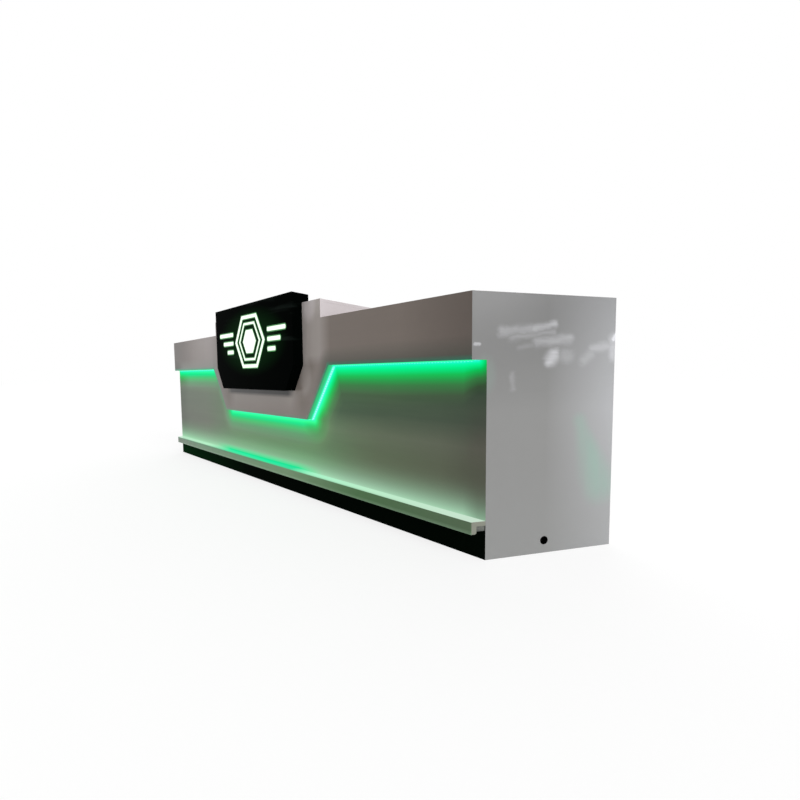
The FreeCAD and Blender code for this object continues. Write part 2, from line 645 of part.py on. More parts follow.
def pull(name, level, x, depth, z):
    """Square bar bent to two legs, level or upright, centred on the face that carries it."""
    body = new_body(name + "_body", x, depth, z)
    half = "(pull_length / 2)"
    inside = "(pull_length / 2 - pull_bar)"
    reach = "pull_projection - pull_bar"
    outline = [("-" + half, "0"), ("-" + half, "pull_projection"), (half, "pull_projection"),
               (half, "0"), (inside, "0"), (inside, reach), ("-" + inside, reach),
               ("-" + inside, "0")]
    sketch = new_sketch(body, "XY_Plane" if level else "YZ_Plane", "-pull_width / 2")
    draw_outline(sketch, [(px, py) if level else (py, px) for px, py in outline])
    pad(body, sketch, "pull_width")
    keep(name, body)


def doors():
    """A pair of doors on each cupboard, hinged at the outer edges of the pair."""
    fixed = []
    pins = []
    hinged = (("door_1", "-" + CUPBOARD_END, 1), ("door_2", "-" + RAISED_HALF, -1),
              ("door_3", RAISED_HALF, 1), ("door_4", CUPBOARD_END, -1))
    for name, edge, direction in hinged:
        away = "+" if direction > 0 else "-"
        axis = "%s %s door_gap / 2" % (edge, away)
        start = "%s + door_gap" % edge if direction > 0 else "%s - door_gap - %s" % (edge, DOOR_WIDTH)
        keep(name, new_box(name, start, FACE_BACK, DOOR_FOOT, DOOR_WIDTH, "board",
                           "%s - %s" % (DOOR_TOP, DOOR_FOOT)))
        keep(name + "_hinge_leaves", hinge_leaf(name + "_leaf_body", axis, direction, True))
        fixed.append(hinge_leaf(name + "_fixed_leaf_body", axis, direction, False))
        pull(name + "_pull", False, "%s %s (door_gap + %s - pull_inset)" % (edge, away, DOOR_WIDTH),
             REAR, "(%s - pull_drop)" % DOOR_TOP)
        feet = ("%s + hinge_inset" % DOOR_FOOT, "%s - hinge_inset - hinge_height" % DOOR_TOP)
        for number, foot in enumerate(feet, start=1):
            pins.append(new_pin("%s_pin_%d" % (name, number), axis,
                                "%s + knuckle_radius" % REAR, foot))
    keep_group("fixed_hinge_leaves", fixed)
    keep_group("hinge_pins", pins)


def channel(label, x, depth, z, facing, reach, half_height):
    """Thin C section, lying along the drawer, with its web at x and its flanges facing out."""
    body = new_body(label, x, depth, z)
    web = "runner_sheet"
    inner_half = "(%s - runner_sheet)" % half_height
    outline = [("0", "-(%s)" % half_height), (reach, "-(%s)" % half_height),
               (reach, "-" + inner_half), (web, "-" + inner_half), (web, inner_half),
               (reach, inner_half), (reach, half_height), ("0", half_height)]
    face_pad(body, [(signed(facing, px), pz) for px, pz in outline], RUNNER_LENGTH)
    return body


def drawers():
    """A shallow drawer at the head of each centre bay, on side-mounted runners."""
    channels = []
    front_foot = "(%s - drawer_front_height)" % DOOR_TOP
    box_foot = "(%s + drawer_box_lift)" % front_foot
    runner_z = "%s + drawer_box_height / 2" % box_foot
    runner_depth = "%s - %s" % (FACE_BACK, RUNNER_LENGTH)
    half_bar = "(runner_height / 2 - runner_sheet - runner_play)"
    for name, side in (("drawer_1", -1), ("drawer_2", 1)):
        middle = signed(side, "((%s + board / 2) / 2)" % BAY_HALF)
        half_bay = "((%s - board / 2) / 2)" % BAY_HALF
        half_box = "(%s - runner_space)" % half_bay
        keep(name + "_front", new_box(name + "_front", "%s - %s + door_gap" % (middle, half_bay),
                                      FACE_BACK, front_foot, "2 * (%s - door_gap)" % half_bay,
                                      "board", "drawer_front_height"))
        box = new_body(name + "_box_body", middle, "%s - %s" % (FACE_BACK, DRAWER_LENGTH),
                       box_foot)
        plan_pad(box, [("-" + half_box, "0"), (half_box, "0"), (half_box, DRAWER_LENGTH),
                       ("-" + half_box, DRAWER_LENGTH)], "drawer_box_height")
        inside = "(%s - drawer_wall)" % half_box
        far = "%s - drawer_wall" % DRAWER_LENGTH
        plan_pocket(box, [("-" + inside, "drawer_wall"), (inside, "drawer_wall"),
                          (inside, far), ("-" + inside, far)], "drawer_floor", "drawer_box_height")
        keep(name + "_box", box)
        bars = []
        for hand, letter in ((-1, "left"), (1, "right")):
            wall = "%s + %s" % (middle, signed(hand, half_bay))
            flank = "%s + %s" % (middle, signed(hand, half_box))
            channels.append(channel("%s_channel_%s" % (name, letter), wall, runner_depth,
                                    runner_z, -hand, "runner_space - runner_sheet - runner_play",
                                    "runner_height / 2"))
            bars.append(channel("%s_bar_%s" % (name, letter), flank, runner_depth, runner_z,
                                hand, "runner_space - runner_sheet - runner_play", half_bar))
        keep_group(name + "_runner_bars", bars)
        pull(name + "_pull", True, middle, REAR, "(%s + drawer_front_height / 2)" % front_foot)
    keep_group("runner_channels", channels)


def light_switch():
    """Square plate on the right filler, with a rocker that turns on two studs in it."""
    middle = "(%s + %s) / 2" % (END_BAY_START, inner(REAR))
    height = "counter_height - switch_drop"
    plate = new_body("switch_plate_body", middle, REAR, height)
    half = "(plate_size / 2)"
    face_pad(plate, [("-" + half, "-" + half), (half, "-" + half), (half, half), ("-" + half, half)],
             "plate_thickness")
    wide = "(rocker_width / 2 + rocker_play)"
    high = "(rocker_height / 2 + rocker_play)"
    face_pocket(plate, [("-" + wide, "-" + high), (wide, "-" + high), (wide, high),
                        ("-" + wide, high)], "plate_thickness")
    holes = new_sketch(plate, "YZ_Plane", "-(%s + trunnion_reach)" % wide)
    draw_circle(holes, "trunnion_radius + trunnion_play", "pivot_depth", "0")
    pocket(plate, holes, "2 * (%s + trunnion_reach)" % wide, True)
    keep("switch_plate", plate)
    rocker = new_body("switch_rocker_body", middle, "%s + pivot_depth" % REAR, height)
    rocker.Placement.Rotation = FreeCAD.Rotation(FreeCAD.Vector(1, 0, 0), value("switch_tilt"))
    bind(rocker, "Placement.Rotation.Angle", "switch_tilt")
    key = new_sketch(rocker, "YZ_Plane", "-rocker_width / 2")
    draw_outline(key, [("-rocker_thickness / 2", "-rocker_height / 2"),
                       ("rocker_thickness / 2", "-rocker_height / 2"),
                       ("rocker_thickness / 2 - rocker_dish", "0"),
                       ("rocker_thickness / 2", "rocker_height / 2"),
                       ("-rocker_thickness / 2", "rocker_height / 2")])
    pad(rocker, key, "rocker_width")
    stud_reach = "(rocker_width / 2 + trunnion_reach)"
    studs = new_sketch(rocker, "YZ_Plane", "-" + stud_reach)
    draw_circle(studs, "trunnion_radius")
    pad(rocker, studs, "2 * " + stud_reach)
    keep("switch_rocker", rocker)


def light_driver():
    """Extruded case with two fixing ears, on the outer face of the right end divider."""
    middle = "(%s + %s) / 2" % (PANEL_BACK, FACE_BACK)
    body = new_body("light_driver_body", END_BAY_START, middle, "driver_foot")
    case = "(driver_length / 2)"
    ear = "(driver_length / 2 + ear_length)"
    plan_pad(body, [("0", "-" + ear), ("ear_thickness", "-" + ear), ("ear_thickness", "-" + case),
                    ("driver_thickness", "-" + case), ("driver_thickness", case),
                    ("ear_thickness", case), ("ear_thickness", ear), ("0", ear)], "driver_height")
    keep("light_driver", body)


def check():
    """Stop if a feature failed, a pocket cut nothing or a node isn't made of sound solids."""
    for thing in document.Objects:
        faults = [word for word in thing.State if word in ("Invalid", "Error")]
        if faults:
            raise RuntimeError("%s is %s" % (thing.Label, faults))
        if thing.TypeId == "PartDesign::Pocket":
            before = thing.BaseFeature.Shape.Volume
            if not thing.Shape.Volume < before:
                raise RuntimeError("%s cuts nothing" % thing.Label)
    for name, thing in nodes.items():
        shape = thing.Shape
        if shape.isNull() or not shape.isValid() or not shape.Solids:
            raise RuntimeError("%s has no sound solid" % name)


def export():
    os.makedirs("parts", exist_ok=True)
    for name, thing in nodes.items():
        thing.Shape.exportStep("parts/%s.step" % name)


def build():
    fill_sheet()
    end_panel("end_panel_left", -1)
    end_panel("end_panel_right", 1)
    fascia_panel()
    fascia_returns()
    light_strips()
    front_boards()
    ledge()
    tops()
    dividers()
    base()
    shelves()
    sign()
    doors()
    drawers()
    light_switch()
    light_driver()
    document.recompute()
    check()
    export()
    print("%d nodes, %d solids" % (len(nodes), sum(len(n.Shape.Solids) for n in nodes.values())))


build()
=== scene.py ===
import json
import math

import bmesh
import bpy
from mathutils import Matrix, Vector


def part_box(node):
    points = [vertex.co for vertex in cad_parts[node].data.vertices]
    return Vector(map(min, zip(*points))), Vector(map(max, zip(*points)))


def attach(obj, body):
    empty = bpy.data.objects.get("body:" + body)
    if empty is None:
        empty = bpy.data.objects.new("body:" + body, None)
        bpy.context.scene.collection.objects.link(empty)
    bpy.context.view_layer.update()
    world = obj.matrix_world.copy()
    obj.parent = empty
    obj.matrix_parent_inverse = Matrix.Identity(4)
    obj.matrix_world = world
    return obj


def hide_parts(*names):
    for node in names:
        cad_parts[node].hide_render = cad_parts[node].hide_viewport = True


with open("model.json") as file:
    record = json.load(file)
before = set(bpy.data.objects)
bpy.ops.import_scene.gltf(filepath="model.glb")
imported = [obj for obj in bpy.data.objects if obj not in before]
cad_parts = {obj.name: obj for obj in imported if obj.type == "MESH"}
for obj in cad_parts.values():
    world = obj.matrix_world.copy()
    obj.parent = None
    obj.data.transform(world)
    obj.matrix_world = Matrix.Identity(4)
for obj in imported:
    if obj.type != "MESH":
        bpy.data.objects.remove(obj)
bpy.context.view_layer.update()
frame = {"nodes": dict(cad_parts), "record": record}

bl_info = {
    "name": "Illuminated service counter",
    "version": (1, 0, 0),
    "blender": (4, 5, 0),
    "location": "View3D > Sidebar > Counter",
    "description": "Finishes, lights, badge and small fittings of an illuminated shop counter",
    "category": "Object",
}

MM = 0.001
NODE_SLOT = {part["node"]: part["material_slot"] for part in frame["record"]["subparts"]}
NODE_BODY = {
    node: body
    for body, nodes in frame["record"]["behaviour"]["bodies"].items()
    for node in nodes
}

# The fascia's lower edge, read from the nodes: the heights of its band and its drop, and how far
# its corners and its end lie from the middle.
BAND_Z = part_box("band_light_strips")[1].z
DROP_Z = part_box("drop_light_strip")[1].z
TOP_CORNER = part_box("diagonal_returns")[1].x
BOTTOM_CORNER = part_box("drop_return")[1].x
FASCIA_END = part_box("fascia_panel")[1].x

# Faces and edges that the finishes follow, read from the nodes too.
FASCIA_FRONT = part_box("fascia_panel")[0].y
PANEL_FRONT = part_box("front_panel")[0].y
LEDGE_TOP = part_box("ledge")[1].z
SIGN_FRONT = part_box("sign_face")[0].y
SIGN_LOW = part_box("sign_case")[0].z
RAISED_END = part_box("raised_top")[1].x

# What no node's box gives: the cable hole in the right end panel, the ends' splay, the lacquered
# boards' thickness, the counter's height and the height of the badge's middle.
HOLE_PLACE = tuple(x * MM for x in (1889.07, 36.0, 55.0))
HOLE_RADIUS = 18.2 * MM
SPLAY = math.radians(36)
BOARD = 18 * MM
COUNTER_HEIGHT = 1.1
BADGE_Z = 1.005

BLACK = (0.0, 0.0, 0.0)
CHEEK_WHITE = (214, 206, 208)


def srgb(red, green, blue):
    """Screen colour, 0 to 255, as the linear colour that sockets hold."""
    shares = (red / 255, green / 255, blue / 255)
    return tuple(c / 12.92 if c <= 0.04045 else ((c + 0.055) / 1.055) ** 2.4 for c in shares)


def colour_property(name, description, colour):
    return bpy.props.FloatVectorProperty(
        name=name, description=description, subtype="COLOR", size=3, min=0.0, max=1.0,
        default=srgb(*colour),
    )


def length_property(name, description, default):
    return bpy.props.FloatProperty(
        name=name, description=description, subtype="DISTANCE", unit="LENGTH", min=0.0,
        default=default,
    )


class CounterColours(bpy.types.PropertyGroup):
    fascia: colour_property("Fascia", "Lacquer of the fascia and its returns", (116, 105, 97))
    end_panel: colour_property("End panels", "Lacquer of the splayed ends", (142, 142, 141))
    lower_panel: colour_property("Lower panel", "Lacquer of the lower front panel", (98, 103, 92))
    ledge: colour_property("Ledge", "Lacquer of the foot ledge", (140, 142, 130))
    worktop: colour_property("Worktop", "Laminate of the counter tops", (128, 122, 116))
    carcass: colour_property("Carcass", "White board of the staff side", (222, 219, 212))
    kick: colour_property("Toe kick", "Black laminate of the toe kick", (4, 10, 5))
    sign: colour_property("Sign", "Gloss black of the sign", (2, 4, 3))
    badge: colour_property("Badge", "Lit face of the sign's badge", (240, 255, 236))
    light: colour_property("Lights", "Light strips under the fascia", (20, 250, 165))


class CounterSizes(bpy.types.PropertyGroup):
    soft_edge: length_property("Soft edge", "Rounding of the lacquered boards' edges", 0.8 * MM)
    board_edge: length_property("Board edge", "Rounding of the white boards' edges", 0.5 * MM)
    dot_spacing: length_property("Dot spacing", "Between the light strips' dots", 16.6 * MM)
    dot_radius: length_property("Dot radius", "Radius of a light strip's dot", 4 * MM)
    badge_relief: length_property("Badge relief", "Badge's height above the sign", 1.5 * MM)
    badge_radius: length_property("Badge radius", "Corner radius of the outer hexagon", 205 * MM)
    # The halo is painted glow: the badge's green light round its shapes.
    halo: length_property("Halo", "Green border round the badge's shapes", 7 * MM)
    screw_radius: length_property("Screw heads", "Radius of the screws' heads", 4.5 * MM)
    pin_hole_radius: length_property("Shelf holes", "Radius of the shelf-support holes", 2.5 * MM)
    pin_hole_pitch: length_property("Hole pitch", "Between the shelf-support holes", 32 * MM)


def colours():
    return bpy.context.scene.counter_colours


def sizes():
    return bpy.context.scene.counter_sizes


class Nodes:
    """A node tree that is filled by one method."""

    def __init__(self, tree):
        self.tree = tree

    def node(self, kind, settings=None, inputs=None):
        """Add a node, set its settings, then give its sockets their values or links."""
        node = self.tree.nodes.new(kind)
        for name, setting in (settings or {}).items():
            setattr(node, name, setting)
        for name, given in (inputs or {}).items():
            socket = node.inputs[name]
            given = getattr(given, "socket", given)
            if isinstance(given, bpy.types.NodeSocket):
                self.tree.links.new(given, socket)
            else:
                socket.default_value = given
        return node


class Number:
    """A value that runs through a material; Python's operators add its Math nodes."""

    def __init__(self, nodes, socket):
        self.nodes = nodes
        self.socket = socket

    def apply(self, operation, *others):
        inputs = dict(enumerate((self,) + others))
        node = self.nodes.node("ShaderNodeMath", {"operation": operation}, inputs)
        return Number(self.nodes, node.outputs[0])

    def __add__(self, other):
        return self.apply("ADD", other)

    __radd__ = __add__

    def __sub__(self, other):
        return self.apply("SUBTRACT", other)

    def __rsub__(self, other):
        return (self * -1) + other

    def __mul__(self, other):
        return self.apply("MULTIPLY", other)

    __rmul__ = __mul__

    def __truediv__(self, other):
        return self.apply("DIVIDE", other)

    def __pow__(self, other):
        return self.apply("POWER", other)

    def __abs__(self):
        return self.apply("ABSOLUTE")

    def at_least(self, other):
        return self.apply("MAXIMUM", other)

    def at_most(self, other):
        return self.apply("MINIMUM", other)

    def within(self, low, high):
        return self.at_least(low).at_most(high)

    def step(self, start, end):
        """0 before start, 1 after end, with a straight rise between them."""
        return ((self - start) / (end - start)).within(0.0, 1.0)


class Finish(Nodes):
    """A procedural material on object coordinates."""

    def __init__(self, name, constants):
        self.material = bpy.data.materials.new(name)
        self.material.use_nodes = True
        super().__init__(self.material.node_tree)
        self.surface = self.tree.nodes["Principled BSDF"]
        for socket, constant in constants.items():
            self.surface.inputs[socket].default_value = constant
        self.coordinates = self.node("ShaderNodeTexCoord").outputs["Object"]

    def place(self):
        parts = self.node("ShaderNodeSeparateXYZ", None, {0: self.coordinates}).outputs
        return tuple(Number(self, part) for part in parts)

    def noise(self, scale, stretch=(1, 1, 1), detail=2.0, roughness=0.5):
        mapping = self.node(
            "ShaderNodeMapping", None, {"Vector": self.coordinates, "Scale": stretch}
        )
        inputs = {"Vector": mapping.outputs[0], "Scale": scale, "Detail": detail,
                  "Roughness": roughness}
        return Number(self, self.node("ShaderNodeTexNoise", None, inputs).outputs[0])

    def mix(self, first, second, share, blend="MIX"):
        settings = {"data_type": "RGBA", "blend_type": blend}
        inputs = {0: share, 6: opaque(first), 7: opaque(second)}
        return self.node("ShaderNodeMix", settings, inputs).outputs[2]

    def tint(self, colour, painted, share, blend="MIX"):
        """Blend a screen colour, 0 to 255, over a colour."""
        return self.mix(colour, srgb(*painted), share, blend)

    def ramp(self, number, stops):
        """Colour by a number, from (number, screen colour) stops in rising order."""
        node = self.node("ShaderNodeValToRGB", None, {0: number / stops[-1][0]})
        elements = node.color_ramp.elements
        elements[0].position, elements[1].position = 0.0, 1.0
        elements[0].color = opaque(srgb(*stops[0][1]))
        elements[1].color = opaque(srgb(*stops[-1][1]))
        for where, colour in stops[1:-1]:
            elements.new(where / stops[-1][0]).color = opaque(srgb(*colour))
        return node.outputs[0]

    def set(self, name, source):
        self.tree.links.new(getattr(source, "socket", source), self.surface.inputs[name])

    def bump(self, height, distance, strength=1.0):
        inputs = {"Strength": strength, "Distance": distance, "Height": height}
        self.set("Normal", self.node("ShaderNodeBump", None, inputs).outputs[0])


def opaque(colour):
    if isinstance(colour, bpy.types.NodeSocket):
        return colour
    return (*colour, 1.0) if len(colour) == 3 else tuple(colour)


def shade(finish, colour, noise, spread):
    """Let a colour drift a little darker and lighter with a noise."""
    dark = tuple(c * (1 - spread) for c in colour)
    light = tuple(min(1.0, c * (1 + spread)) for c in colour)
    return finish.mix(dark, light, noise.step(0.3, 0.7))


def white_back(finish, colour, y, front):
    """Leave the lacquer to a board's front and give its back the carcass's white."""
    depth = y - (front + BOARD)
    back = depth.step(-0.5 * MM, -0.2 * MM) * (1 - depth.step(1 * MM, 2 * MM))
    return finish.mix(colour, colours().carcass, back)


def raised_cheek(x, z, foot, skin=0.6 * MM):
    """1 above a height in the thin outer skin of the raised centre's two sides."""
    return abs(x).step(RAISED_END - skin, RAISED_END - skin / 3) * z.step(foot, foot + 2 * MM)


def soft_edge(inside):
    """Ease a fall from 1 to 0, and stay at 0 below it."""
    inside = inside.at_least(0.0)
    return inside * inside * (3 - inside * 2)


def soft_spot(across, up, centre, reach):
    """1 in the middle of a soft ellipse, fading to 0 at its edge."""
    side = (across - centre[0]) / reach[0]
    rise = (up - centre[1]) / reach[1]
    return soft_edge(1 - (side * side + rise * rise))


def to_segment(x, z, start, end):
    """Distance in the elevation from a point to a straight run."""
    run_x, run_z = end[0] - start[0], end[1] - start[1]
    square = run_x ** 2 + run_z ** 2
    along = (((x - start[0]) * run_x + (z - start[1]) * run_z) / square).within(0.0, 1.0)
    away_x = x - start[0] - along * run_x
    away_z = z - start[1] - along * run_z
    return (away_x * away_x + away_z * away_z) ** 0.5


# How much faster the glow falls off beside a diagonal strip than under a level one.
DIAGONAL_FALL = 1.22


def to_lights(x, z):
    """Distance in the elevation to the nearest light strip."""
    side = abs(x)
    end, top, bottom = (FASCIA_END, BAND_Z), (TOP_CORNER, BAND_Z), (BOTTOM_CORNER, DROP_Z)
    band = to_segment(side, z, end, top)
    diagonal = to_segment(side, z, top, bottom) * DIAGONAL_FALL
    drop = to_segment(side, z, bottom, (0.0, DROP_Z))
    return band.at_most(diagonal).at_most(drop)


def lacquer(name, colour, constants, drift=0.05):
    """Sprayed gloss lacquer: slow tone drift, level painted reflection streaks and a fine orange
    peel.
    """
    settings = {"Roughness": 0.2, "IOR": 1.5, "Specular IOR Level": 0.5, **constants}
    finish = Finish(name, settings)
    clouds = finish.noise(1.7, (1.0, 1.0, 0.45), 3.0)
    # Level streaks painted as soft reflections in the gloss, mixed with the clouds' tone drift.
    streaks = finish.noise(2.2, (0.35, 1.0, 6.0), 4.0, 0.6)
    finish.tone = shade(finish, colour, clouds * 0.5 + streaks * 0.5, drift)
    finish.set("Base Color", finish.tone)
    finish.bump(finish.noise(260.0), 0.05 * MM, 0.3)
    smears = finish.noise(5.0, (1.0, 1.0, 0.3), 4.0, 0.6)
    finish.set("Roughness", smears.step(0.35, 0.75) * 0.06 + settings["Roughness"])
    return finish


# Screen colours painted on the fascia: painted reflections, shade, the sign's shadow and the
# strips' green light, and the glow on its lower edge from the front inwards.
FASCIA = {
    "left band": (160, 150, 148), "far left": (92, 84, 80), "right end": (84, 73, 66),
    "beside the sign": (176, 168, 164), "drop": (156, 146, 141), "sign's shadow": (18, 16, 12),
    "dull cast": (44, 54, 42), "left cast": (134, 142, 135), "drop's cast": (130, 119, 114),
    "rim": (14, 160, 118), "right rim": (0, 108, 82), "lower edge": (10, 40, 26),
}
FASCIA_EDGE_GLOW = ((0.0, (52, 158, 104)), (0.018, (58, 194, 124)))


def fascia_lacquer():
    """Grey lacquer: painted reflection beside the sign, the sign's painted shadow under it and
    painted green light at its lower edge.
    """
    finish = lacquer("fascia lacquer", colours().fascia,
                     {"Roughness": 0.3, "Emission Strength": 1.0})
    x, y, z = finish.place()
    above = z - BAND_Z

    # Painted reflection as a lighter band left of the middle; painted shade at the far left and at
    # the right end.
    left = x.step(-0.5, -0.8) * (1 - x.step(-0.9, -1.5)) * (z.step(0.86, 1.06) * 0.3 + 0.7)
    tone = finish.tint(finish.tone, FASCIA["left band"], left)
    tone = finish.tint(tone, FASCIA["far left"], x.step(-1.2, -1.6) * 0.9)
    tone = finish.tint(tone, FASCIA["right end"], x.step(1.3, FASCIA_END) * 0.8)

    # Painted reflection beside the sign, strongest above the band and towards the top.
    beside = x.step(0.42, 0.53) * (1 - x.step(0.69, 0.79))
    lighter = above.step(0.0, 0.06) * 0.42 + z.step(1.1, 1.2) * 0.35 + z.step(0.6, 0.7) * 0.22
    lighter = lighter + (1 - x.step(0.58, 0.66)) * above.step(0.0, 0.06) * 0.25
    lighter = lighter + soft_spot(x, z, (0.54, 0.77), (0.08, 0.14)) * 0.4
    tone = finish.tint(tone, FASCIA["beside the sign"], beside * lighter.at_most(1.0))

    # Painted light on the drop's middle, a painted highlight against the sign's shade beside its
    # upper right corner, and the sign's painted shadow below it.
    under = (1 - abs(x).step(0.38, 0.5)) * (z.step(DROP_Z, DROP_Z + 0.12) * 0.6 + 0.35)
    tone = finish.tint(tone, FASCIA["drop"], under)
    tone = finish.tint(tone, CHEEK_WHITE, soft_spot(x, z, (0.59, 1.19), (0.09, 0.13)) * 0.5)
    shadow = (1 - (SIGN_LOW - z).step(0.026, 0.05)) * (1 - z.step(SIGN_LOW, SIGN_LOW + 0.04))
    shadow = shadow * (1 - abs(x + 0.05).step(0.4, 0.47))
    tone = finish.tint(tone, FASCIA["sign's shadow"], shadow * 0.98)

    # The strips' painted green light close to them, and a brighter painted rim right at the
    # fascia's edge.
    near = to_lights(x, z)
    left = x.step(-0.5, -0.8) * (1 - x.step(-1.45, -1.6))
    outside = abs(x).step(0.6, 0.72)
    cast = finish.mix(srgb(*FASCIA["dull cast"]), srgb(*FASCIA["left cast"]), left)
    cast = finish.tint(cast, FASCIA["drop's cast"], 1 - outside)
    tone = finish.mix(tone, cast, (1 - near.step(0.015, 0.1)) * 0.6)
    rim = finish.mix(srgb(*FASCIA["rim"]), srgb(*FASCIA["right rim"]), x.step(0.72, 0.8))
    tone = finish.mix(tone, rim, (1 - near.step(0.002, 0.023)) * (outside * 0.6 + 0.3))

    cheek = raised_cheek(x, z, COUNTER_HEIGHT, 0.3 * MM) * (1 - abs(x).step(0.75, 0.76))
    face = white_back(finish, finish.tint(tone, CHEEK_WHITE, cheek), y, FASCIA_FRONT)
    # The fascia's lower edge, behind its front: darker green with the strips' painted glow.
    depth = y - FASCIA_FRONT
    edge = (1 - near.step(0.3 * MM, 1.2 * MM)) * depth.step(0.6 * MM, 2 * MM)
    finish.set("Base Color", finish.tint(face, FASCIA["lower edge"], edge))
    finish.set("Emission Color", finish.mix(BLACK, finish.ramp(depth, FASCIA_EDGE_GLOW), edge))
    return finish.material


# Painted highlights on the end panels: from, to, half width and strength, along and up the panel.
PAINTED_HIGHLIGHTS = (
    ((-0.21, 0.945), (-0.06, 0.957), 0.036, 0.22), ((-0.06, 0.96), (0.03, 0.977), 0.03, 0.32),
    ((-0.165, 0.916), (-0.05, 0.936), 0.026, 0.16), ((-0.04, 0.938), (0.03, 0.944), 0.024, 0.18),
    ((-0.05, 0.904), (0.1, 0.918), 0.042, 0.24), ((-0.13, 0.878), (-0.06, 0.892), 0.022, 0.08),
    ((0.016, 0.832), (0.03, 0.848), 0.052, 0.54), ((0.08, 0.85), (0.1, 0.845), 0.048, 0.18),
    ((0.175, 0.83), (0.21, 0.856), 0.04, 0.18), ((0.22, 0.88), (0.3, 0.893), 0.036, 0.24),
    ((0.325, 0.85), (0.325, 0.925), 0.042, 0.36), ((0.328, 0.925), (0.333, 0.935), 0.02, 1.1),
    ((-0.328, 0.89), (-0.308, 0.888), 0.01, 0.42), ((-0.163, 0.765), (-0.16, 0.71), 0.026, 0.12),
)


# Screen colours of the painted light, shade and highlights on the end panels, and the run that
# the painted green reflection follows.
END_PANEL = {
    "upper": (124, 124, 124), "top": (100, 100, 100), "foot": (152, 153, 152),
    "rear": (186, 187, 190), "highlight": (232, 232, 237), "tint": (140, 188, 168), "bore": (6, 6, 6),
}
GREEN_REFLECTION_RUN = ((0.165, 0.57), (0.275, 0.28))


def end_lacquer():
    """Pale lacquer, painted lighter to the rear, with soft painted highlights, a painted green
    reflection and a black cable hole.
    """
    finish = lacquer("end panel lacquer", colours().end_panel, {"Specular IOR Level": 0.4}, 0.02)
    x, y, z = finish.place()
    inwards = (y - HOLE_PLACE[1]) * math.cos(SPLAY)
    across = (abs(x) - HOLE_PLACE[0]) * math.sin(SPLAY) + inwards

    # Painted shade towards the top, painted light at the foot and towards the rear.
    tone = finish.tint(finish.tone, END_PANEL["upper"], z.step(0.55, 1.1) * 0.5)
    tone = finish.tint(tone, END_PANEL["top"], z.step(0.62, 1.1) * 0.55)
    tone = finish.tint(tone, END_PANEL["foot"], (1 - z.step(0.0, 0.4)) * 0.6)
    middle = (1 - abs(z - 0.62) / 0.5).within(0.0, 1.0)
    tone = finish.tint(tone, END_PANEL["rear"], across.step(0.0, 0.34) * (middle * 0.42 + 0.45))

    # Painted highlights: soft strokes, wobbled and broken into streaks by noise.
    wobble = (finish.noise(16.0, (1.0, 1.0, 1.6), 3.0, 0.6) - 0.5) * 0.035
    grain = finish.noise(9.0, (0.6, 0.6, 6.0), 3.0, 0.6).step(0.25, 0.75) * 0.6 + 0.65
    marks = across * 0.0
    for start, end, width, strength in PAINTED_HIGHLIGHTS:
        away = to_segment(across + wobble, z + wobble, start, end) / width
        marks = marks.at_least((1 - away * away).at_least(0.0) ** 3.0 * strength)
    tone = finish.tint(tone, END_PANEL["highlight"], (marks * grain).at_most(1.0))

    # A painted green reflection along a slanting run, streaked, with a faint painted spot of it
    # higher up.
    away = to_segment(across, z, *GREEN_REFLECTION_RUN) / (0.12 - z.step(0.32, 0.54) * 0.07)
    streaks = finish.noise(15.0, (1.0, 1.0, 0.1), 3.0, 0.6).step(0.3, 0.7) * 0.5 + 0.65
    tint = (1 - away * away).at_least(0.0) ** 2.0 * streaks * (0.44 - z.step(0.45, 0.6) * 0.14)
    tint = tint + soft_spot(across, z, (-0.28, 0.77), (0.06, 0.1)) * 0.12
    tone = finish.tint(tone, END_PANEL["tint"], tint)

    offset = (x - HOLE_PLACE[0]) * math.sin(SPLAY) + inwards
    rise = z - HOLE_PLACE[2]
    bore = 1 - ((offset * offset + rise * rise) ** 0.5).step(HOLE_RADIUS, HOLE_RADIUS + 0.4 * MM)
    finish.set("Base Color", finish.tint(tone, END_PANEL["bore"], bore * x.step(0.0, 0.1)))
    return finish.material


# The lower panel: its tone by height, painted shade darker upwards under the fascia, the lights'
# painted glow by distance and the painted sheen along it. What else is painted on it has a name.
PANEL_TONES = (
    (0.0, (94, 104, 84)), (0.37, (86, 92, 76)), (0.46, (94, 96, 84)),
    (0.57, (62, 70, 59)), (0.72, (48, 60, 44)), (1.1, (44, 56, 42)),
)
PANEL_GLOW = (
    (0.0, (60, 247, 215)), (0.007, (28, 248, 204)), (0.017, (4, 250, 166)),
    (0.032, (0, 238, 134)), (0.062, (0, 188, 82)), (0.087, (16, 150, 66)),
    (0.112, (36, 112, 54)), (0.162, (24, 58, 27)), (0.212, (0, 34, 16)), (0.5, (0, 0, 0)),
)
PANEL_SHEEN = (
    (0.0, (26, 28, 22)), (0.6, (58, 62, 52)), (1.3, (56, 90, 52)),
    (2.2, (56, 92, 54)), (2.8, (44, 60, 34)), (3.4, (30, 26, 19)),
)
# Painted light and shade on the lower panel: reflection streaks, shade at its ends, a dark base
# under the glow, the lit ledge's reflection at its foot and the strips' green light.
PANEL = {
    "streak": (118, 122, 108), "end": (52, 54, 46), "under glow": (0, 12, 4),
    "foot": (164, 208, 176), "left foot": (0, 84, 32), "skirt": (62, 94, 80),
    "near skirt": (0, 56, 84), "lit centre": (22, 228, 148),
}


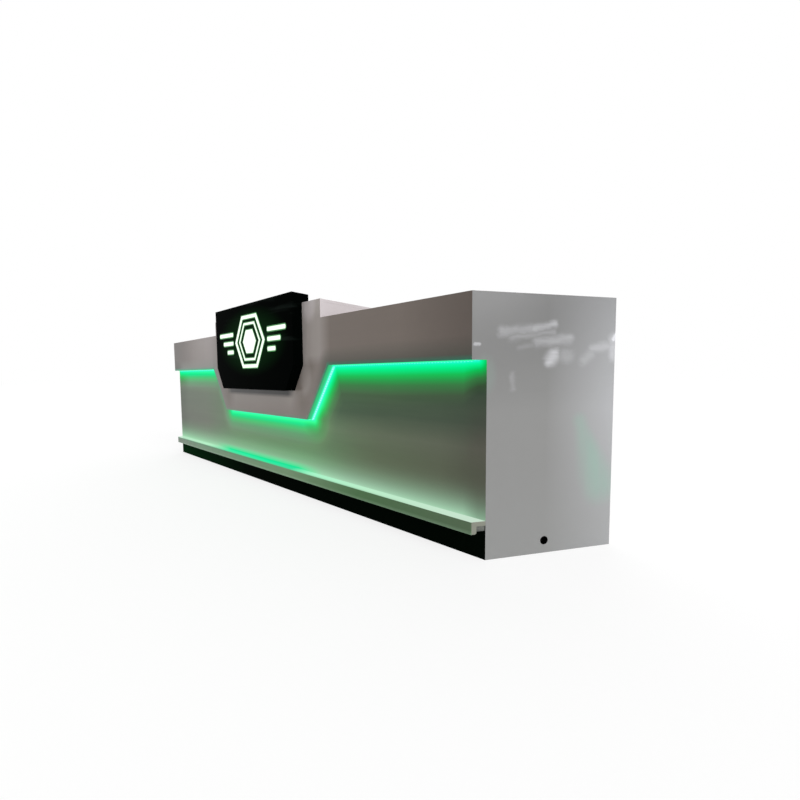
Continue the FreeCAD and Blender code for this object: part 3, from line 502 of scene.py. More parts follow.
def lower_panel_lacquer():
    """Dark gloss lacquer that carries the lights' painted glow and the lit ledge's painted
    reflection.
    """
    finish = lacquer("lower panel lacquer", colours().lower_panel,
                     {"Specular IOR Level": 0.0, "Roughness": 0.25, "Coat Roughness": 0.1,
                      "Emission Strength": 1.0}, 0.07)
    x, y, z = finish.place()
    near = to_lights(x, z)
    height = z - LEDGE_TOP
    brink = x.step(1.62, FASCIA_END)
    front = 1 - y.step(PANEL_FRONT + 0.2 * MM, PANEL_FRONT + 0.5 * MM)

    # Painted shade darker upwards on the right, painted reflection streaks and painted shade at
    # both ends.
    tone = finish.mix(finish.ramp(z, PANEL_TONES), finish.tone, x.step(0.8, -0.9))
    streaks = finish.noise(1.3, (0.5, 1.0, 7.0), 4.0, 0.6).step(0.3, 0.7)
    tone = finish.tint(tone, PANEL["streak"], (streaks - 0.5) * 0.14)
    tone = finish.tint(tone, PANEL["end"], abs(x).step(1.5, 1.66) * 0.3)

    # The base darkens almost to black where painted glow covers it: near the strips, at the foot
    # and under the drop.
    fade = (1 - height / 0.2).within(0.0, 1.0)
    foot = fade * fade * fade * (1 - brink * 0.4)
    centre = (1 - abs(x + 0.13).step(0.5, 0.75)) * (1 - height.step(0.004, 0.045))
    quench = (1 - near.step(0.035, 0.15)).at_least(foot * 0.9).at_least(centre)
    tone = finish.tint(tone, PANEL["under glow"], quench * 0.96)
    finish.set("Base Color", white_back(finish, tone, y, PANEL_FRONT))
    finish.set("Coat Weight", (1 - quench) * front * 0.5)

    # Painted glow: the strips' light by distance, the lit ledge's painted reflection at the foot, a
    # green skirt, a painted sheen and a lit centre by the ledge.
    falling = x.step(1.2, FASCIA_END) * 0.12 + brink * 0.4 + 1
    falling = falling + soft_spot(x, z, (0.56, 0.5), (0.14, 0.12)) * 0.3
    glow = finish.ramp((near * falling).at_most(0.5), PANEL_GLOW)
    glow = finish.tint(glow, PANEL["foot"], foot, "ADD")
    glow = finish.tint(glow, PANEL["left foot"], fade * (1 - x.step(0.4, 0.85)), "ADD")
    skirt = near.step(0.02, 0.05) * (1 - near.step(0.1, 0.19)) * (1 - x.step(0.4, 0.65))
    skirt = skirt * x.step(-1.66, -1.45)
    pale = finish.mix(srgb(*PANEL["near skirt"]), srgb(*PANEL["skirt"]), near.step(0.04, 0.08))
    glow = finish.mix(glow, pale, skirt, "ADD")
    upper = 1 - z.step(0.48, 0.56) * x.step(0.3, 0.8) * 0.5 - z.step(0.62, 0.72) * 0.4
    upper = upper * (streaks * 0.4 + 0.8)
    sheen = finish.ramp(x + FASCIA_END, PANEL_SHEEN)
    glow = finish.mix(glow, sheen, height.step(0.0, 0.09) * upper * (1 - skirt), "ADD")
    glow = finish.tint(glow, PANEL["lit centre"], centre)
    finish.set("Emission Color", finish.mix(BLACK, glow, front))
    return finish.material


RETURN_GLOW = (
    (0.0, (44, 140, 92)), (0.006, (56, 178, 116)), (0.018, (56, 194, 126)),
    (0.034, (62, 222, 166)), (0.052, (20, 250, 186)),
)


def return_lacquer():
    """The fascia's lacquer where the light strips shine along it."""
    finish = lacquer("return lacquer", colours().fascia,
                     {"Specular IOR Level": 0.1, "Emission Strength": 1.0})
    _, y, _ = finish.place()
    depth = y - FASCIA_FRONT
    inner = depth.step(0.004, 0.01)
    finish.set("Base Color", finish.tint(finish.tone, FASCIA["lower edge"], inner))
    finish.set("Emission Color", finish.ramp(depth, RETURN_GLOW))
    return finish.material


# The ledge, by distance from its left end: the painted glow on its top and the painted shade,
# with a green cast, of its front.
LEDGE_START = -1.75
LEDGE_GLOW = (
    (0.0, (166, 200, 176)), (0.75, (166, 218, 182)), (1.02, (112, 204, 156)),
    (1.15, (50, 210, 148)), (1.75, (16, 216, 146)), (2.08, (42, 206, 146)),
    (2.3, (158, 230, 190)), (2.8, (180, 228, 194)), (3.5, (198, 219, 202)),
)
LEDGE_FRONT = (
    (0.0, (104, 122, 104)), (0.6, (106, 152, 114)), (2.05, (126, 164, 122)),
    (2.75, (72, 122, 70)), (3.5, (86, 112, 82)),
)
# Painted light and shade on the ledge: a lighter lower front, green light along the top of its
# front, a dark base under the top's glow and a painted highlight along the top's front edge.
LEDGE = {
    "lower front": (156, 188, 158), "lip": (66, 150, 104), "top": (14, 30, 20),
    "brink": (92, 146, 106),
}


def ledge_lacquer():
    """Pale lacquer: its top takes the lights' colour as painted glow, its front painted shade with
    a green cast.
    """
    finish = lacquer("ledge lacquer", colours().ledge,
                     {"Specular IOR Level": 0.15, "Emission Strength": 1.0})
    x, y, z = finish.place()
    along = x - LEDGE_START
    top = z.step(LEDGE_TOP - 0.5 * MM, LEDGE_TOP - 0.1 * MM)
    front = 1 - y.step(FASCIA_FRONT + 1.5 * MM, FASCIA_FRONT + 3 * MM)

    # Painted shade with a green cast on the front, lighter low down and greener near its top on the
    # left.
    dull = finish.mix(finish.ramp(along, LEDGE_FRONT), finish.tone, 0.12)
    foot = (1 - z.step(LEDGE_TOP - 0.053, LEDGE_TOP - 0.035)) * (0.66 - x.step(0.35, 0.8) * 0.3)
    dull = finish.tint(dull, LEDGE["lower front"], foot * x.step(-1.66, -1.5))
    lip = z.step(LEDGE_TOP - 16 * MM, LEDGE_TOP - 8 * MM) * (1 - x.step(-0.1, 0.3)) * 0.4
    dull = finish.tint(dull, LEDGE["lip"], lip)
    face = white_back(finish, finish.mix(finish.tone, dull, front), y, PANEL_FRONT)
    finish.set("Base Color", finish.tint(face, LEDGE["top"], top))

    # A painted highlight along the top's front edge, fading out towards the right end.
    brink = (1 - y.step(FASCIA_FRONT, FASCIA_FRONT + 0.02)) * (0.38 - x.step(1.0, 1.5) * 0.38)
    glow = finish.tint(finish.ramp(along, LEDGE_GLOW), LEDGE["brink"], brink)
    finish.set("Emission Color", finish.mix(BLACK, glow, top))
    return finish.material


def strip_cover():
    """Milky cover of a light strip, lit from inside and brightest along its middle."""
    finish = Finish("light strip cover", {"Roughness": 0.4, "Emission Strength": 1.0})
    _, y, z = finish.place()
    ripple = finish.noise(60.0, (1, 1, 1), 2.0)
    finish.set("Base Color", shade(finish, srgb(20, 90, 70), ripple, 0.2))
    low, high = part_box("band_light_strips")
    side = abs(y - (low.y + high.y) / 2) / ((high.y - low.y) / 2)
    band = z.step(BAND_Z - 12 * MM, BAND_Z - 6 * MM)
    middle = finish.mix(srgb(124, 255, 228), srgb(44, 248, 204), band)
    finish.set("Emission Color", finish.mix(middle, colours().light, side.step(0.85, 1.0)))
    return finish.material


def light_dot():
    """A bright dot in a light strip, greener along the band than beside the drop."""
    finish = Finish("light strip dot", {"Roughness": 0.3, "Emission Strength": 1.0})
    _, _, z = finish.place()
    sparkle = finish.noise(90.0)
    finish.set("Base Color", shade(finish, srgb(120, 200, 180), sparkle, 0.05))
    bright = shade(finish, srgb(176, 250, 238), sparkle, 0.04)
    band = z.step(BAND_Z - 15 * MM, BAND_Z - 10 * MM)
    finish.set("Emission Color", finish.tint(bright, (86, 250, 210), band))
    return finish.material


def sign_black(name, roughness, specular):
    """Black with faint level sheens and, on the face, the badge's dark green spill."""
    finish = Finish(name, {"Roughness": roughness, "IOR": 1.5, "Specular IOR Level": specular,
                           "Emission Strength": 1.0})
    # Faint painted sheens in level bands; on the face, the badge's painted green spill.
    haze = finish.noise(2.4, (0.5, 1.0, 5.0), 3.0)
    finish.set("Base Color", finish.tint(colours().sign, (30, 37, 34), haze.step(0.56, 0.72)))
    x, _, z = finish.place()
    spill = soft_spot(x, z, (0.0, BADGE_Z), (0.5, 0.25))
    finish.set("Emission Color", finish.tint(BLACK, (8, 34, 12), spill))
    finish.bump(finish.noise(300.0), 0.02 * MM, 0.2)
    return finish.material


def badge_white():
    """The badge's lit face."""
    finish = Finish("badge lit face", {"Roughness": 0.35, "Emission Strength": 1.0})
    glow = finish.noise(9.0, (1, 1, 1), 1.0)
    finish.set("Base Color", shade(finish, srgb(120, 130, 120), glow, 0.03))
    finish.set("Emission Color", shade(finish, colours().badge, glow, 0.03))
    return finish.material


def badge_halo_glow():
    """The badge's painted green glow, a halo that shows round its lit face."""
    finish = Finish("badge lit border", {"Roughness": 0.4, "Emission Strength": 1.0})
    glow = finish.noise(14.0, (1, 1, 1), 1.0)
    finish.set("Base Color", shade(finish, srgb(14, 60, 20), glow, 0.1))
    finish.set("Emission Color", shade(finish, srgb(34, 118, 48), glow, 0.25))
    return finish.material


def black_laminate():
    """Fine-grained black, with the strips' painted green light at its far end and the carcass's
    white at its back.
    """
    finish = Finish("black laminate", {"Roughness": 0.5, "Specular IOR Level": 0.001})
    grain = finish.noise(420.0, (0.2, 1, 1), 3.0)
    x, y, _ = finish.place()
    # The strips' painted green light on the far end of the toe kick.
    far = (1 - x.step(-1.5, -0.3)) * (1 - y.step(0.0, 0.01)) * 0.8
    tone = finish.tint(shade(finish, colours().kick, grain, 0.35), (0, 46, 14), far)
    finish.set("Base Color", white_back(finish, tone, y, PANEL_FRONT))
    scuffs = finish.noise(24.0, (0.3, 1, 1), 4.0, 0.65).step(0.6, 0.8)
    finish.set("Roughness", scuffs * 0.18 + 0.45)
    finish.bump(grain, 0.05 * MM, 0.4)
    return finish.material


def worktop_laminate():
    """Grey laminate with pale specks and worn patches."""
    finish = Finish("worktop laminate", {"Roughness": 0.3, "Specular IOR Level": 0.45})
    clouds = finish.noise(3.0, (1, 1, 1), 4.0)
    specks = finish.noise(520.0, (1, 1, 1), 1.0).step(0.6, 0.7)
    tone = shade(finish, colours().worktop, clouds, 0.05)
    tone = finish.tint(tone, (158, 152, 146), specks * 0.3)
    x, _, z = finish.place()
    cheek = raised_cheek(x, z, COUNTER_HEIGHT + 0.05)
    finish.set("Base Color", finish.tint(tone, CHEEK_WHITE, cheek))
    wear = finish.noise(11.0, (1, 1, 1), 5.0, 0.6).step(0.55, 0.8)
    finish.set("Roughness", wear * 0.12 + 0.26)
    finish.bump(finish.noise(700.0), 0.03 * MM, 0.3)
    return finish.material


def white_board():
    """Melamine-faced board: a fine pearl texture and faint marks from use."""
    finish = Finish("white board", {"Roughness": 0.42, "Specular IOR Level": 0.4})
    marks = finish.noise(6.0, (1, 1, 1), 5.0, 0.65)
    tone = shade(finish, colours().carcass, marks, 0.03)
    scuffs = finish.noise(34.0, (1, 1, 0.3), 5.0, 0.7).step(0.66, 0.8)
    tone = finish.tint(tone, (186, 182, 174), scuffs * 0.5)
    x, _, z = finish.place()
    cheek = raised_cheek(x, z, COUNTER_HEIGHT)
    finish.set("Base Color", finish.tint(tone, CHEEK_WHITE, cheek))
    finish.set("Roughness", marks.step(0.3, 0.7) * 0.1 + 0.38)
    finish.bump(finish.noise(900.0), 0.04 * MM, 0.5)
    return finish.material


def bare_batten():
    """Grey softwood with its grain along the batten."""
    finish = Finish("grey softwood", {"Roughness": 0.75, "Specular IOR Level": 0.2})
    grain = finish.noise(34.0, (0.04, 1, 1), 5.0, 0.6)
    fine = finish.noise(260.0, (0.03, 1, 1), 3.0)
    tone = finish.mix(srgb(72, 76, 73), srgb(118, 120, 114), grain.step(0.35, 0.68))
    finish.set("Base Color", finish.tint(tone, (52, 56, 52), fine.step(0.55, 0.75) * 0.5))
    finish.bump(fine, 0.2 * MM, 0.5)
    return finish.material


def brushed_metal(name, colour, stretch, roughness):
    """Bare metal with fine brush marks that run one way."""
    finish = Finish(name, {"Metallic": 1.0, "Roughness": roughness})
    brush = finish.noise(900.0, stretch, 3.0)
    finish.set("Base Color", shade(finish, srgb(*colour), brush, 0.06))
    finish.set("Roughness", brush.step(0.3, 0.7) * 0.14 + roughness - 0.07)
    finish.bump(brush, 0.02 * MM, 0.4)
    return finish.material


def zinc_plate():
    """Plated steel with faint flakes."""
    finish = Finish("zinc plate", {"Metallic": 1.0, "Roughness": 0.4})
    flakes = finish.node(
        "ShaderNodeTexVoronoi", None, {"Vector": finish.coordinates, "Scale": 180.0}
    ).outputs["Distance"]
    finish.set("Base Color", finish.mix(srgb(158, 162, 166), srgb(188, 190, 190), flakes))
    finish.set("Roughness", Number(finish, flakes) * 0.3 + 0.28)
    return finish.material


def moulded_white():
    """White plastic with a fine moulded grain."""
    finish = Finish("moulded white", {"Roughness": 0.28, "Specular IOR Level": 0.5})
    spots = finish.noise(700.0)
    finish.set("Base Color", shade(finish, srgb(232, 231, 224), spots, 0.02))
    finish.bump(spots, 0.02 * MM, 0.3)
    return finish.material


def opal_sheet():
    """Opal acrylic, softly lit from behind."""
    finish = Finish("opal sheet", {"Roughness": 0.5, "Emission Strength": 1.0})
    haze = finish.noise(8.0)
    finish.set("Base Color", shade(finish, srgb(232, 238, 232), haze, 0.03))
    finish.set("Emission Color", shade(finish, srgb(120, 150, 126), haze, 0.05))
    return finish.material


def anodised_case():
    """Extruded aluminium with shallow level ribs, 7 mm apart."""
    finish = Finish("anodised case", {"Metallic": 1.0, "Roughness": 0.42})
    _, _, z = finish.place()
    ribs = (z * 900.0).apply("SINE")
    finish.set("Base Color", shade(finish, srgb(176, 178, 182), finish.noise(60.0), 0.04))
    finish.bump(ribs, 0.5 * MM, 0.8)
    return finish.material


def dark_hole():
    """The inside of a drilled hole: the raw board's brown, darkened as painted shade."""
    finish = Finish("drilled hole", {"Roughness": 0.8, "Specular IOR Level": 0.1})
    finish.set("Base Color", shade(finish, srgb(46, 38, 30), finish.noise(300.0), 0.3))
    return finish.material


# The finishes by name, and which finish each of the record's material slots or nodes has.
MAKERS = {
    "fascia": fascia_lacquer,
    "end": end_lacquer,
    "lower panel": lower_panel_lacquer,
    "return": return_lacquer,
    "ledge": ledge_lacquer,
    "strip": strip_cover,
    "dot": light_dot,
    "sign case": lambda: sign_black("sign case paint", 0.3, 0.002),
    "sign face": lambda: sign_black("sign face acrylic", 0.15, 0.0015),
    "badge": badge_white,
    "badge halo": badge_halo_glow,
    "black laminate": black_laminate,
    "worktop": worktop_laminate,
    "board": white_board,
    "batten": bare_batten,
    "steel": lambda: brushed_metal("brushed steel", (176, 176, 178), (1, 1, 0.04), 0.3),
    "zinc": zinc_plate,
    "light bar": lambda: brushed_metal("light bar metal", (196, 198, 200), (0.04, 1, 1), 0.35),
    "white plastic": moulded_white,
    "opal": opal_sheet,
    "driver": anodised_case,
    "hole": dark_hole,
}
SLOT_FINISH = {
    "fascia_lacquer": "fascia", "panel_lacquer": "end", "ledge_lacquer": "ledge",
    "kick_board": "black laminate", "carcass_board": "board", "worktop_board": "worktop",
    "batten_wood": "batten", "light_strip": "strip", "sign_sheet": "sign case",
    "sign_acrylic": "sign face", "opal_acrylic": "opal", "light_bar": "light bar",
    "steel": "steel", "zinc_plate": "zinc", "switch_plastic": "white plastic",
    "driver_case": "driver",
}
NODE_FINISH = {
    "front_panel": "lower panel", "band_returns": "return", "diagonal_returns": "return",
    "drop_return": "return",
}


MADE = {}


def material_named(name):
    """The material of a finish, made at its first use."""
    if name not in MADE:
        MADE[name] = MAKERS[name]()
    return MADE[name]


def material_of(node):
    """The material of a node's own finish, or else of its slot's."""
    return material_named(NODE_FINISH.get(node, SLOT_FINISH[NODE_SLOT[node]]))


def dress(*nodes):
    """Give CAD nodes that keep their shape their finish."""
    for node in nodes:
        for slot in frame["nodes"][node].material_slots:
            slot.material = material_of(node)


def add_piece(name, mesh, body, material=None):
    """Put a finished mesh in the scene as a piece that rides on a body."""
    piece = bpy.data.objects.new(name, mesh)
    bpy.context.scene.collection.objects.link(piece)
    if material:
        mesh.materials.clear()
        mesh.materials.append(material)
    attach(piece, body)
    return piece


# Angles for a softened board: below the first its faces are one, above the second an edge is
# rounded. Points closer than the weld are one.
FLAT_ANGLE = math.radians(1.0)
SHARP_ANGLE = math.radians(28)
WELD = 0.01 * MM


def soften(node, width):
    """Stand-in for a CAD board with its edges rounded by width."""
    shape = bmesh.new()
    shape.from_mesh(frame["nodes"][node].data)
    bmesh.ops.remove_doubles(shape, verts=shape.verts, dist=WELD)
    bmesh.ops.dissolve_limit(
        shape, angle_limit=FLAT_ANGLE, verts=shape.verts, edges=shape.edges
    )
    sharp = [edge for edge in shape.edges
             if len(edge.link_faces) == 2 and edge.calc_face_angle() > SHARP_ANGLE]
    bmesh.ops.bevel(
        shape, geom=sharp, offset=width, offset_type="OFFSET", segments=2, profile=0.5,
        affect="EDGES", clamp_overlap=True,
    )
    bmesh.ops.triangulate(shape, faces=[face for face in shape.faces if len(face.verts) > 4])
    name = node + "_softened"
    piece = add_piece(name, mesh_from(shape, name), NODE_BODY[node],
                      material_of(node))
    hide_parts(node)


def mesh_from(shape, name):
    """Turn a finished bmesh into a mesh and let the bmesh go."""
    mesh = bpy.data.meshes.new(name)
    shape.to_mesh(mesh)
    shape.free()
    return mesh


class Growth(Nodes):
    """A geometry node tree that makes what repeats, with named inputs for its sizes."""

    SOCKETS = {
        float: "NodeSocketFloat", int: "NodeSocketInt", tuple: "NodeSocketVector",
        bpy.types.Material: "NodeSocketMaterial",
    }

    def __init__(self, name, settings):
        super().__init__(bpy.data.node_groups.new(name, "GeometryNodeTree"))
        self.settings = settings
        face = self.tree.interface
        face.new_socket("Geometry", in_out="INPUT", socket_type="NodeSocketGeometry")
        self.keys = {}
        for label, setting in settings.items():
            kind = self.SOCKETS[type(setting)]
            socket = face.new_socket(label, in_out="INPUT", socket_type=kind)
            self.keys[label] = socket.identifier
        face.new_socket("Geometry", in_out="OUTPUT", socket_type="NodeSocketGeometry")
        self.given = self.node("NodeGroupInput").outputs

    def end(self, instances):
        """Realize the instances, set their material and close the tree."""
        real = self.node("GeometryNodeRealizeInstances", None, {"Geometry": instances})
        inputs = {"Geometry": real.outputs[0], "Material": self.given["Material"]}
        painted = self.node("GeometryNodeSetMaterial", None, inputs)
        self.node("NodeGroupOutput", None, {"Geometry": painted.outputs[0]})

    def grow(self, name, points, edges, body, slot):
        """Run the tree on points and edges, and keep the result as a plain piece."""
        seed = bpy.data.meshes.new(name + "_seed")
        seed.from_pydata(points, edges, [])
        holder = bpy.data.objects.new(name + "_seed", seed)
        bpy.context.scene.collection.objects.link(holder)
        modifier = holder.modifiers.new("repeat", "NODES")
        modifier.node_group = self.tree
        for label, setting in self.settings.items():
            modifier[self.keys[label]] = setting
        evaluated = holder.evaluated_get(bpy.context.evaluated_depsgraph_get())
        mesh = bpy.data.meshes.new_from_object(evaluated)
        mesh.name = name
        holder.modifiers.remove(modifier)
        bpy.data.objects.remove(holder)
        bpy.data.meshes.remove(seed)
        return add_piece(name, mesh, body)


def dots_along(name, runs):
    """Dots at even steps along straight runs on the light strips."""
    settings = {"Spacing": sizes().dot_spacing, "Radius": sizes().dot_radius,
                "Material": material_named("dot")}
    growth = Growth(name, settings)
    given = growth.given
    curve = growth.node("GeometryNodeMeshToCurve", None, {"Mesh": given["Geometry"]})
    steps = growth.node("GeometryNodeResampleCurve", {"mode": "LENGTH"},
                        {"Curve": curve.outputs[0], "Length": given["Spacing"]})
    dot = growth.node("GeometryNodeMeshIcoSphere", None,
                      {"Radius": given["Radius"], "Subdivisions": 2})
    placed = growth.node("GeometryNodeInstanceOnPoints", None,
                         {"Points": steps.outputs[0], "Instance": dot.outputs[0]})
    growth.end(placed.outputs[0])
    points = [point for run in runs for point in run]
    edges = [(2 * number, 2 * number + 1) for number in range(len(runs))]
    return growth.grow(name, points, edges, "counter", "light_strip")


# A round head's sides, and its recess: length and width of a slot, as shares of the head's
# radius, and how far its middle lies above the head's, as a share of the head's height.
HEAD_SIDES = 20
SLOT_LENGTH = 1.1
SLOT_WIDTH = 0.24
SLOT_RISE = 0.55


def cross_recess(growth, head):
    """Cut two crossed slots into the outer end of a head."""
    radius, height = growth.given["Radius"], growth.given["Height"]

    def share(of, number):
        return growth.node("ShaderNodeMath", {"operation": "MULTIPLY"},
                           {0: of, 1: number}).outputs[0]

    length, width = share(radius, SLOT_LENGTH), share(radius, SLOT_WIDTH)
    lift = growth.node("ShaderNodeCombineXYZ", None, {"Z": share(height, SLOT_RISE)})
    for across, along in ((length, width), (width, length)):
        size = growth.node("ShaderNodeCombineXYZ", None, {"X": across, "Y": along, "Z": height})
        blade = growth.node("GeometryNodeMeshCube", None, {"Size": size.outputs[0]})
        raised = growth.node("GeometryNodeTransform", None,
                             {"Geometry": blade.outputs[0], "Translation": lift.outputs[0]})
        cut = growth.node("GeometryNodeMeshBoolean", {"operation": "DIFFERENCE"},
                          {"Mesh 1": head, "Mesh 2": raised.outputs[0]})
        head = cut.outputs[0]
    return head


def heads_at(name, points, facing, size, look, slot):
    """Round heads on the counter's fixed parts, each with a cross recess if it is a screw's."""
    radius, height = size
    settings = {"Radius": radius, "Height": height, "Facing": facing,
                "Material": material_named(look)}
    growth = Growth(name, settings)
    given = growth.given
    head = growth.node(
        "GeometryNodeMeshCylinder", None,
        {"Vertices": HEAD_SIDES, "Radius": given["Radius"], "Depth": given["Height"]},
    ).outputs["Mesh"]
    if look == "zinc":
        head = cross_recess(growth, head)
    turn = growth.node("FunctionNodeAlignRotationToVector", {"axis": "Z"},
                       {"Vector": given["Facing"]})
    placed = growth.node("GeometryNodeInstanceOnPoints", None,
                         {"Points": given["Geometry"], "Instance": head,
                          "Rotation": turn.outputs[0]})
    growth.end(placed.outputs[0])
    growth.grow(name, points, [], "counter", slot)


def screws_at(name, points, facing, size):
    heads_at(name, points, facing, size, "zinc", "zinc_plate")


class COUNTER_OT_lacquered_front(bpy.types.Operator):
    """Fascia, returns, lower panel, end panels, ledge, toe kick and tops"""

    bl_idname = "counter.lacquered_front"
    bl_label = "Lacquered front"

    def execute(self, context):
        for node in ("fascia_panel", "end_panel_left", "end_panel_right", "ledge",
                     "counter_top_left", "counter_top_right", "raised_top"):
            soften(node, sizes().soft_edge)
        dress("front_panel", "band_returns", "diagonal_returns", "drop_return", "toe_kick",
              "ledge_batten")
        return {"FINISHED"}


# How far a dot's middle lies inside its strip's lower face, as a share of the dot's radius, and
# how far a row of dots keeps from a strip's end.
DOT_SUNK = 0.35
ROW_MARGIN = 8 * MM


class COUNTER_OT_light_strips(bpy.types.Operator):
    """Light strips under the fascia's edge, with a row of dots along them"""

    bl_idname = "counter.light_strips"
    bl_label = "Light strips"

    def execute(self, context):
        dress("band_light_strips", "diagonal_light_strips", "drop_light_strip")
        dots_along("light_strip_dots", self.rows())
        return {"FINISHED"}

    def rows(self):
        """Start and end of each row of dots, in the strips' lower faces."""
        low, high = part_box("band_light_strips")
        middle = (low.y + high.y) / 2
        drop = high.z - low.z - DOT_SUNK * sizes().dot_radius
        slope = math.atan2(BAND_Z - DROP_Z, TOP_CORNER - BOTTOM_CORNER)
        out_x, out_z = math.sin(slope) * drop, math.cos(slope) * drop
        inset_x, inset_z = math.cos(slope) * ROW_MARGIN, math.sin(slope) * ROW_MARGIN
        band = ((TOP_CORNER + ROW_MARGIN, BAND_Z - drop), (high.x - 2 * ROW_MARGIN, BAND_Z - drop))
        diagonal = ((BOTTOM_CORNER + inset_x + out_x, DROP_Z + inset_z - out_z),
                    (TOP_CORNER - inset_x + out_x, BAND_Z - inset_z - out_z))
        rows = [[(side * x, middle, z) for x, z in row]
                for side in (1, -1) for row in (band, diagonal)]
        rows.append([(side * BOTTOM_CORNER, middle, DROP_Z - drop) for side in (-1, 1)])
        return rows


def hexagon(radius):
    """Corners of a level hexagon round the badge's middle."""
    angles = [math.radians(60 * corner) for corner in range(6)]
    return [(radius * math.cos(angle), BADGE_Z + radius * math.sin(angle)) for angle in angles]


def rounded_bar(left, right, height, middle, corner):
    """Outline of a level bar with rounded corners."""
    points = []
    half = height / 2
    for cx, cz, start in ((right - corner, middle + half - corner, 0),
                          (left + corner, middle + half - corner, 90),
                          (left + corner, middle - half + corner, 180),
                          (right - corner, middle - half + corner, 270)):
        for step in range(5):
            angle = math.radians(start + step * 22.5)
            points.append((cx + corner * math.cos(angle), cz + corner * math.sin(angle)))
    return points


def plate(shape, outline, front, back, hole=None):
    """Flat plate in the sign's plane, with an optional opening of as many corners."""
    rings = [outline] + ([hole] if hole else [])
    loops = []
    for ring in rings:
        loops.append([[shape.verts.new((x, y, z)) for x, z in ring] for y in (front, back)])
    count = len(outline)
    for number in range(count):
        after = (number + 1) % count
        for ring, (near, far) in enumerate(loops):
            corners = (near[number], near[after], far[after], far[number])
            shape.faces.new(corners if ring == 0 else corners[::-1])
        if hole:
            for layer in (0, 1):
                outer, inner = loops[0][layer], loops[1][layer]
                corners = (outer[number], outer[after], inner[after], inner[number])
                shape.faces.new(corners if layer else corners[::-1])
    if not hole:
        shape.faces.new(loops[0][0])
        shape.faces.new(loops[0][1][::-1])


# The badge, inwards from its outer radius: the rings' outer and inner edges and the filled
# middle's. Outwards: where the bars start, each bar's height above the middle and its length.
BADGE_RINGS = ((0.0, 26 * MM), (58 * MM, 74 * MM))
BADGE_MIDDLE = 115 * MM
BAR_START = 34 * MM
BARS = ((62 * MM, 215 * MM), (0.0, 155 * MM), (-62 * MM, 95 * MM))
BAR_HEIGHT = 26 * MM
BAR_CORNER = 8 * MM


def badge_shapes(shape, grow, front, back):
    """Hexagon rings round a filled hexagon, with three shortening bars on either side."""
    radius = sizes().badge_radius
    for outer, inner in BADGE_RINGS:
        plate(shape, hexagon(radius - outer + grow), front, back, hexagon(radius - inner - grow))
    plate(shape, hexagon(radius - BADGE_MIDDLE + grow), front, back)
    start = radius + BAR_START
    for rise, length in BARS:
        for side in (1, -1):
            near, far = sorted((side * start, side * (start + length)))
            outline = rounded_bar(near - grow, far + grow, BAR_HEIGHT + 2 * grow, BADGE_Z + rise,
                                  BAR_CORNER + grow)
            plate(shape, outline, front, back)


class COUNTER_OT_sign(bpy.types.Operator):
    """Black sign with its case, lit badge and what is inside it"""

    bl_idname = "counter.sign"
    bl_label = "Sign"

    def execute(self, context):
        soften("sign_case", sizes().soft_edge)
        soften("sign_face", sizes().soft_edge)
        dress("sign_diffuser", "sign_light_bars")
        relief = sizes().badge_relief
        # The lower layer is the halo, the badge's painted green glow round its lit shapes.
        layers = (("badge_halo", sizes().halo, SIGN_FRONT - 0.4 * relief, "badge halo"),
                  ("badge_face", 0.0, SIGN_FRONT - relief, "badge"))
        for name, grow, front, look in layers:
            shape = bmesh.new()
            badge_shapes(shape, grow, front, SIGN_FRONT + 0.2 * MM)
            bmesh.ops.recalc_face_normals(shape, faces=shape.faces)
            add_piece(name, mesh_from(shape, name), "counter",
                      material_named(look))
        return {"FINISHED"}


# Holes for the shelf supports: how far a row lies from the shelf's front and back edge, the
# lowest hole's height, how many a row has, how far a shelf keeps them off below and above it,
# and how far their dark ends stand off the board.
ROW_INSET = 37 * MM
LOWEST_HOLE = 0.3
HOLES_IN_ROW = 17
CLEAR_BELOW = 30 * MM
CLEAR_ABOVE = 20 * MM
HOLE_PROUD = 0.15 * MM

# Screws of the rear fillers: their heights up to the top one, how far that lies from the top, how
# far the columns lie from the end divider and from the filler's outer end, and a head's height.
FILLER_SCREW_HEIGHTS = (0.06, 0.4, 0.72)
FILLER_SCREW_TOP = 50 * MM
FILLER_SCREW_INSETS = (30 * MM, 60 * MM)
FILLER_HEAD = 0.9 * MM


